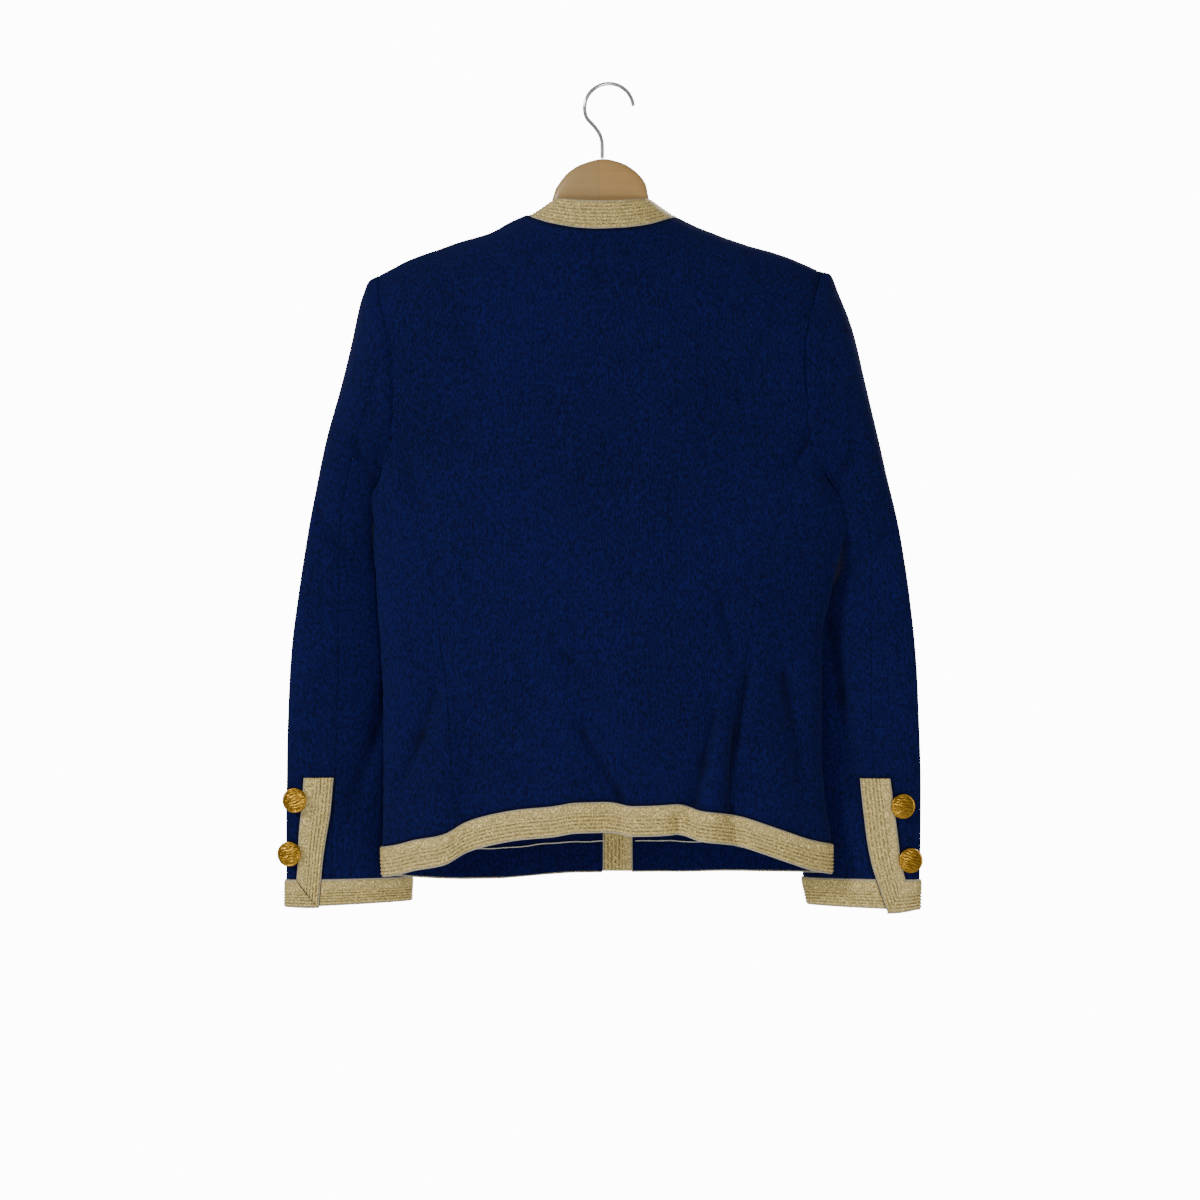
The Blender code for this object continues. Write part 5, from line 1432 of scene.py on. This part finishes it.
def hammered_button(name, seat, axis, seed):
    build = bmesh.new()
    dome = [(r, 4.7 + 1.9 * (1.0 - (r / 9.9) ** 2)) for r in np.linspace(9.6, 0.0, counted(34))]
    line = [build.verts.new((r, 0.0, h)) for r, h in BUTTON_PROFILE + tuple(dome)]
    edges = [build.edges.new(pair) for pair in zip(line, line[1:])]
    bmesh.ops.spin(build, geom=line + edges, cent=(0, 0, 0), axis=(0, 0, 1), angle=FULL_TURN, steps=counted(88),
                   use_merge=True)
    bmesh.ops.remove_doubles(build, verts=build.verts[:], dist=0.0005)
    face_turn = math.radians(8.0 * math.sin(seed * 5.0))
    for vert in build.verts:
        x, y, z = vert.co
        far = math.hypot(x, y)
        if z > 4.55 and far < 9.9:
            u = x * math.cos(face_turn) + y * math.sin(face_turn)
            w = y * math.cos(face_turn) - x * math.sin(face_turn)
            bend = 1.0 * math.sin(u / 3.4 + seed * 3.0) + 0.5 * math.sin(u / 1.7 + w / 2.9 + seed * 7.0)
            ridge = abs(math.sin((w + 0.5 * bend) * 1.15 + seed)) ** 0.7
            break_up = 0.5 + 0.5 * math.sin(u / 1.9 + 2.0 * math.sin(w * 0.9 + seed))
            vert.co.z += (1.15 * ridge * (0.5 + 0.5 * break_up) - 0.55) * min(1.0, (9.9 - far) / 0.8)
    bmesh.ops.recalc_face_normals(build, faces=build.faces[:])
    if build.calc_volume(signed=True) < 0.0:
        bmesh.ops.reverse_faces(build, faces=build.faces[:])
    turn = Vector((0.0, 0.0, 1.0)).rotation_difference(Vector(axis)).to_matrix().to_4x4()
    bmesh.ops.scale(build, vec=(MM, MM, MM), verts=build.verts[:])
    bmesh.ops.transform(build, matrix=turn, verts=build.verts[:])
    bmesh.ops.translate(build, vec=[c * MM for c in seat], verts=build.verts[:])
    mesh = bpy.data.meshes.new(name)
    build.to_mesh(mesh)
    build.free()
    mesh.polygons.foreach_set("use_smooth", np.ones(len(mesh.polygons), dtype=bool))
    mesh.materials.append(BRASS)
    piece = bpy.data.objects.new(name, mesh)
    bpy.context.scene.collection.objects.link(piece)
    return piece


# %% Button metal
def button_metal():
    made, tree, shader = new_material("gold_button_metal")
    wear_and_painted_reflection = noise(tree, object_place(tree), 260.0, 4.0)
    pits = noise(tree, object_place(tree, (1.0, 1.0, 3.0)), 900.0, 3.0)
    # Painted reflection: random dark and bright patches in the metal's colour stand in for the reflections of the
    # hammered face. The same noise makes the roughness uneven.
    base = blend_colour(tree, wear_and_painted_reflection, (0.17, 0.078, 0.006), (0.47, 0.268, 0.033))
    tree.links.new(base, shader.inputs["Base Color"])
    tree.links.new(bump(tree, pits, 0.35, 0.0003), shader.inputs["Normal"])
    rough = calc(tree, "MULTIPLY_ADD", wear_and_painted_reflection, 0.2, 0.2)
    tree.links.new(rough, shader.inputs["Roughness"])
    shader.inputs["Metallic"].default_value = 1.0
    return made


BRASS = button_metal()


# %% Set the buttons
def cuff_buttons():
    for side, word, seats in ((-1, "left", LEFT_CUFF_BUTTONS), (1, "right", RIGHT_CUFF_BUTTONS)):
        for place, seat in zip(("upper", "lower"), seats):
            turn, v = sleeve_place(side, np.array([seat.x]), np.array([seat.drop]))
            point = sleeve_point(side, turn, v, False)[0]
            normal = sleeve_normals(side, turn[:, None], v[:, None])[0, 0]
            lean = math.radians(seat.outward)
            axis = np.array((side * math.sin(lean), -math.cos(lean), 0.0))
            name = "cuff_button_%s_%s" % (word, place)
            button = hammered_button(name + "_cast", point + normal * 0.6 + axis * 0.5, axis, seat.drop / 100.0)
            dress(button, "gold_button", name)


def front_buttons():
    for number, drop in enumerate(FRONT_BUTTON_DROPS, start=1):
        t = np.array([float(share_at_drop(0.06, drop, True))])
        angle = angle_at_x(front_under, (BAND_LEFT_X + BAND_RIGHT_X) / 2.0, t)
        base = body_point(angle, t, True, False)
        normal = surface_normals(front_under, angle, t, body_inside(base))[0]
        name = "front_button_%d" % number
        button = hammered_button(name + "_cast", base[0] + normal * (OVERLAP_STEP - 2.0 + 2.4), normal, drop / 100.0)
        dress(button, "gold_button", name)


cuff_buttons()
front_buttons()

# %% [markdown]
# The hanger is a plain turned and sanded wooden one with a domed middle. Its sections
# are read from a table of stations, and the same grid helper wraps them into a closed
# body. Clear lacquer gives it a soft shine.

# %% Wooden hanger
Station = namedtuple("Station", "x top bottom half")
WOOD_STATIONS = (
    Station(-180.5, 164.0, 174.5, 2.6),
    Station(-176.0, 161.6, 177.0, 4.2),
    Station(-150.0, 156.0, 178.0, 5.2),
    Station(-120.0, 149.6, 174.0, 5.8),
    Station(-98.0, 141.4, 168.0, 6.2),
    Station(-84.0, 133.6, 163.0, 6.6),
    Station(-74.0, 126.4, 160.0, 7.0),
    Station(-61.5, 121.5, 157.0, 7.2),
    Station(-55.6, 114.0, 155.0, 7.5),
    Station(-52.6, 107.0, 153.5, 7.8),
    Station(-51.6, 100.5, 152.0, 8.0),
    Station(-46.9, 91.6, 150.0, 8.2),
    Station(-37.0, 79.7, 147.5, 8.5),
    Station(-24.0, 72.0, 145.5, 8.7),
    Station(-5.1, 67.6, 143.8, 8.8),
    Station(12.5, 71.6, 145.0, 8.7),
    Station(23.9, 78.7, 147.5, 8.5),
    Station(30.9, 85.8, 149.0, 8.3),
    Station(35.2, 93.3, 151.0, 8.1),
    Station(36.6, 100.5, 152.5, 8.0),
    Station(37.0, 107.0, 154.0, 7.8),
    Station(42.4, 114.0, 156.0, 7.5),
    Station(49.0, 121.5, 158.0, 7.2),
    Station(64.0, 127.0, 161.0, 7.0),
    Station(78.0, 135.4, 165.0, 6.6),
    Station(96.0, 144.6, 168.0, 6.2),
    Station(118.0, 150.8, 172.0, 5.6),
    Station(140.0, 155.6, 174.0, 5.0),
    Station(158.0, 160.0, 175.0, 4.2),
    Station(162.5, 162.6, 173.0, 2.6),
)


def wood_colour():
    made, tree, shader = new_material("tan_wood_lacquered")
    grain = noise(tree, object_place(tree, (3.0, 40.0, 60.0)), 2.6, 6.0, 0.62)
    pores = noise(tree, object_place(tree, (12.0, 150.0, 260.0)), 5.0, 3.0)
    broad = noise(tree, object_place(tree), 14.0, 3.0)
    split = tree.nodes.new("ShaderNodeSeparateXYZ")
    tree.links.new(object_place(tree), split.inputs[0])
    x = calc(tree, "MULTIPLY", split.outputs[0], 1000.0)
    right = calc(tree, "GREATER_THAN", x, -9.5)
    joint = calc(tree, "LESS_THAN", calc(tree, "ABSOLUTE", calc(tree, "ADD", x, 9.5)), 0.45)
    base = blend_colour(tree, grain, (0.240, 0.135, 0.042), (0.425, 0.27, 0.098))
    warm = blend_colour(tree, grain, (0.275, 0.145, 0.040), (0.47, 0.28, 0.084))
    base = blend_colour(tree, right, base, warm)
    base = blend_colour(tree, calc(tree, "MULTIPLY", broad, 0.35), base, (0.38, 0.25, 0.11))
    base = blend_colour(tree, calc(tree, "MULTIPLY", calc(tree, "POWER", pores, 4.0), 0.9), base, (0.20, 0.11, 0.04))
    base = blend_colour(tree, calc(tree, "MULTIPLY", joint, 0.45), base, (0.22, 0.13, 0.055))
    tree.links.new(base, shader.inputs["Base Color"])
    tree.links.new(bump(tree, pores, 0.12, 0.0002), shader.inputs["Normal"])
    shader.inputs["Roughness"].default_value = 0.42
    shader.inputs["Coat Weight"].default_value = 0.25
    shader.inputs["Coat Roughness"].default_value = 0.2
    return made


def wooden_hanger():
    x = crowd(WOOD_STATIONS[0].x, WOOD_STATIONS[-1].x, counted(180), 0.7)[:, None]
    top = read_rows(WOOD_STATIONS, "top", x, "x")
    bottom = read_rows(WOOD_STATIONS, "bottom", x, "x")
    half = read_rows(WOOD_STATIONS, "half", x, "x")
    turn = np.linspace(0.0, FULL_TURN, counted(64) + 1)[None, :]
    flat = np.abs(np.cos(turn)) ** 0.7 * np.sign(np.cos(turn))
    tall = np.abs(np.sin(turn)) ** 0.8 * np.sign(np.sin(turn))
    z = -(top + bottom) / 2.0 + (bottom - top) / 2.0 * tall
    points = np.stack(np.broadcast_arrays(x, half * flat, z), axis=-1)
    inside = np.stack(np.broadcast_arrays(x, 0.0 * half, -(top + bottom) / 2.0 + 0.0 * turn), axis=-1)
    piece = grid_piece("hanger_wood_finished", points, inside, wood_colour(), round_way=True)
    return dress(piece, "tan_wood", "hanger_wood")


wooden_hanger()
print("wood sides:", counted(64))

# %% [markdown]
# The hook is one chrome wire. Its middle line is sampled closely, and a ring of points
# is carried along it and kept square to it, which makes a smooth bent rod.


# %% The chrome hook
def hook_line():
    path = [(-6.2, -67.3), (-6.2, -60.0), (-6.25, -54.0), (-6.7, -49.6), (-8.4, -44.8), (-11.6, -40.0), (-15.4, -35.4)]
    centre = -(LOOP_RADIUS - WIRE_RADIUS)
    for turn in np.radians(np.linspace(208.0, 4.0, 40)):
        path.append((LOOP_RADIUS * math.cos(turn), centre + LOOP_RADIUS * math.sin(turn)))
    line = np.array(path)
    far = np.concatenate(([0.0], np.cumsum(np.linalg.norm(np.diff(line, axis=0), axis=1))))
    places = np.linspace(0.0, far[-1], counted(220))
    smooth = np.stack((np.interp(places, far, line[:, 0]), np.interp(places, far, line[:, 1])), axis=-1)
    return rounded(smooth, 24)


def chrome():
    made, tree, shader = new_material("chrome_wire_polished")
    smear = noise(tree, object_place(tree), 320.0, 3.0)
    tree.links.new(blend_colour(tree, smear, (0.42, 0.43, 0.45), (0.70, 0.71, 0.73)), shader.inputs["Base Color"])
    tree.links.new(calc(tree, "MULTIPLY_ADD", smear, 0.12, 0.10), shader.inputs["Roughness"])
    shader.inputs["Metallic"].default_value = 1.0
    return made


def chrome_hook():
    line = hook_line()
    ahead = np.gradient(line, axis=0)
    ahead /= np.linalg.norm(ahead, axis=1, keepdims=True)
    turn = np.linspace(0.0, FULL_TURN, 21)[None, :]
    ends = np.minimum(np.arange(len(line)), np.arange(len(line))[::-1])
    radius = WIRE_RADIUS * np.sqrt(np.clip(1.0 - (1.0 - np.minimum(ends / 3.0, 1.0)) ** 2, 0.12, 1.0))[:, None]
    x = line[:, :1] - ahead[:, 1:] * radius * np.cos(turn)
    z = line[:, 1:] + ahead[:, :1] * radius * np.cos(turn)
    points = np.stack((x, radius * np.sin(turn), z), axis=-1)
    inside = np.stack(np.broadcast_arrays(line[:, :1], 0.0 * radius, line[:, 1:] + 0.0 * turn), axis=-1)
    piece = grid_piece("hanger_hook_polished", points, inside, chrome(), round_way=True)
    return dress(piece, "chrome_wire", "hanger_hook")


chrome_hook()
print("hook reach:", round(2.0 * LOOP_RADIUS), "mm")

# %% [markdown]
# The studio is plain: a pale round floor far below the hem, a white surround and large
# soft lamps. The key lamp stands well to the left of the camera, so that folds throw
# soft shade. A weak one fills from the right, one from below reaches inside the hem,
# and two lamps behind the garment light its front for the other views.


# %% Floor and lamps
def pale_floor():
    build = bmesh.new()
    bmesh.ops.create_circle(build, cap_ends=True, radius=1.15, segments=96)
    bmesh.ops.translate(build, vec=(0.0, 0.0, -1.32), verts=build.verts[:])
    mesh = bpy.data.meshes.new("studio_floor")
    build.to_mesh(mesh)
    build.free()
    made, tree, shader = new_material("pale_floor")
    shader.inputs["Base Color"].default_value = (0.86, 0.86, 0.85, 1.0)
    shader.inputs["Roughness"].default_value = 0.8
    mesh.materials.append(made)
    floor = bpy.data.objects.new("studio_floor", mesh)
    bpy.context.scene.collection.objects.link(floor)
    floor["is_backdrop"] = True


def soft_lamp(name, place, size, watts, colour=(1.0, 1.0, 1.0)):
    lamp = bpy.data.lights.new(name, "AREA")
    lamp.shape = "DISK"
    lamp.size = size
    lamp.energy = watts
    lamp.color = colour
    thing = bpy.data.objects.new(name, lamp)
    thing.location = place
    aim = Vector((0.0, 0.0, -0.42)) - Vector(place)
    thing.rotation_euler = aim.to_track_quat("-Z", "Y").to_euler()
    bpy.context.scene.collection.objects.link(thing)


def white_surround(seen, lighting):
    """The paper behind is bright, but only a part of its light reaches the garment."""
    world = bpy.data.worlds.new("studio")
    world.use_nodes = True
    tree = world.node_tree
    ray = tree.nodes.new("ShaderNodeLightPath")
    tree.nodes["Background"].inputs["Color"].default_value = (1.0, 1.0, 1.0, 1.0)
    strength = calc(tree, "MULTIPLY_ADD", ray.outputs["Is Camera Ray"], seen - lighting, lighting)
    tree.links.new(strength, tree.nodes["Background"].inputs["Strength"])
    bpy.context.scene.world = world


pale_floor()
white_surround(13.0, 0.40)
soft_lamp("key", (-2.3, -1.75, 0.95), 0.7, 66.0)
soft_lamp("fill", (1.9, -2.2, -0.3), 1.6, 7.0)
soft_lamp("low_fill", (0.3, -2.3, -1.15), 0.8, 24.0)
soft_lamp("front_key", (1.7, 2.2, 0.9), 0.9, 62.0)
soft_lamp("front_fill", (-1.8, 2.2, -0.3), 1.6, 14.0)

# %% [markdown]
# The camera stands level, three metres behind the garment. Its lens is worked out from
# the width of what it has to see at the garment, so that sizes come out true.

# %% Camera
FRAME_WIDTH = 1.104
DISTANCE = 3.0
lens = bpy.data.cameras.new("camera")
lens.sensor_width = 36.0
lens.lens = lens.sensor_width * DISTANCE / FRAME_WIDTH
camera = bpy.data.objects.new("camera", lens)
camera.location = (-0.00828, -DISTANCE, -0.4734)
camera.rotation_euler = (math.pi / 2.0, 0.0, 0.0)
bpy.context.scene.collection.objects.link(camera)
bpy.context.scene.camera = camera
print("lens", round(lens.lens, 1), "mm")

# %% Measure the dressed scene
DRESSED_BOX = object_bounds()
for label, one, two in zip("XYZ", zip(*CAD_BOX), zip(*DRESSED_BOX)):
    print(label, [round(c / MM, 1) for c in one], [round(c / MM, 1) for c in two])
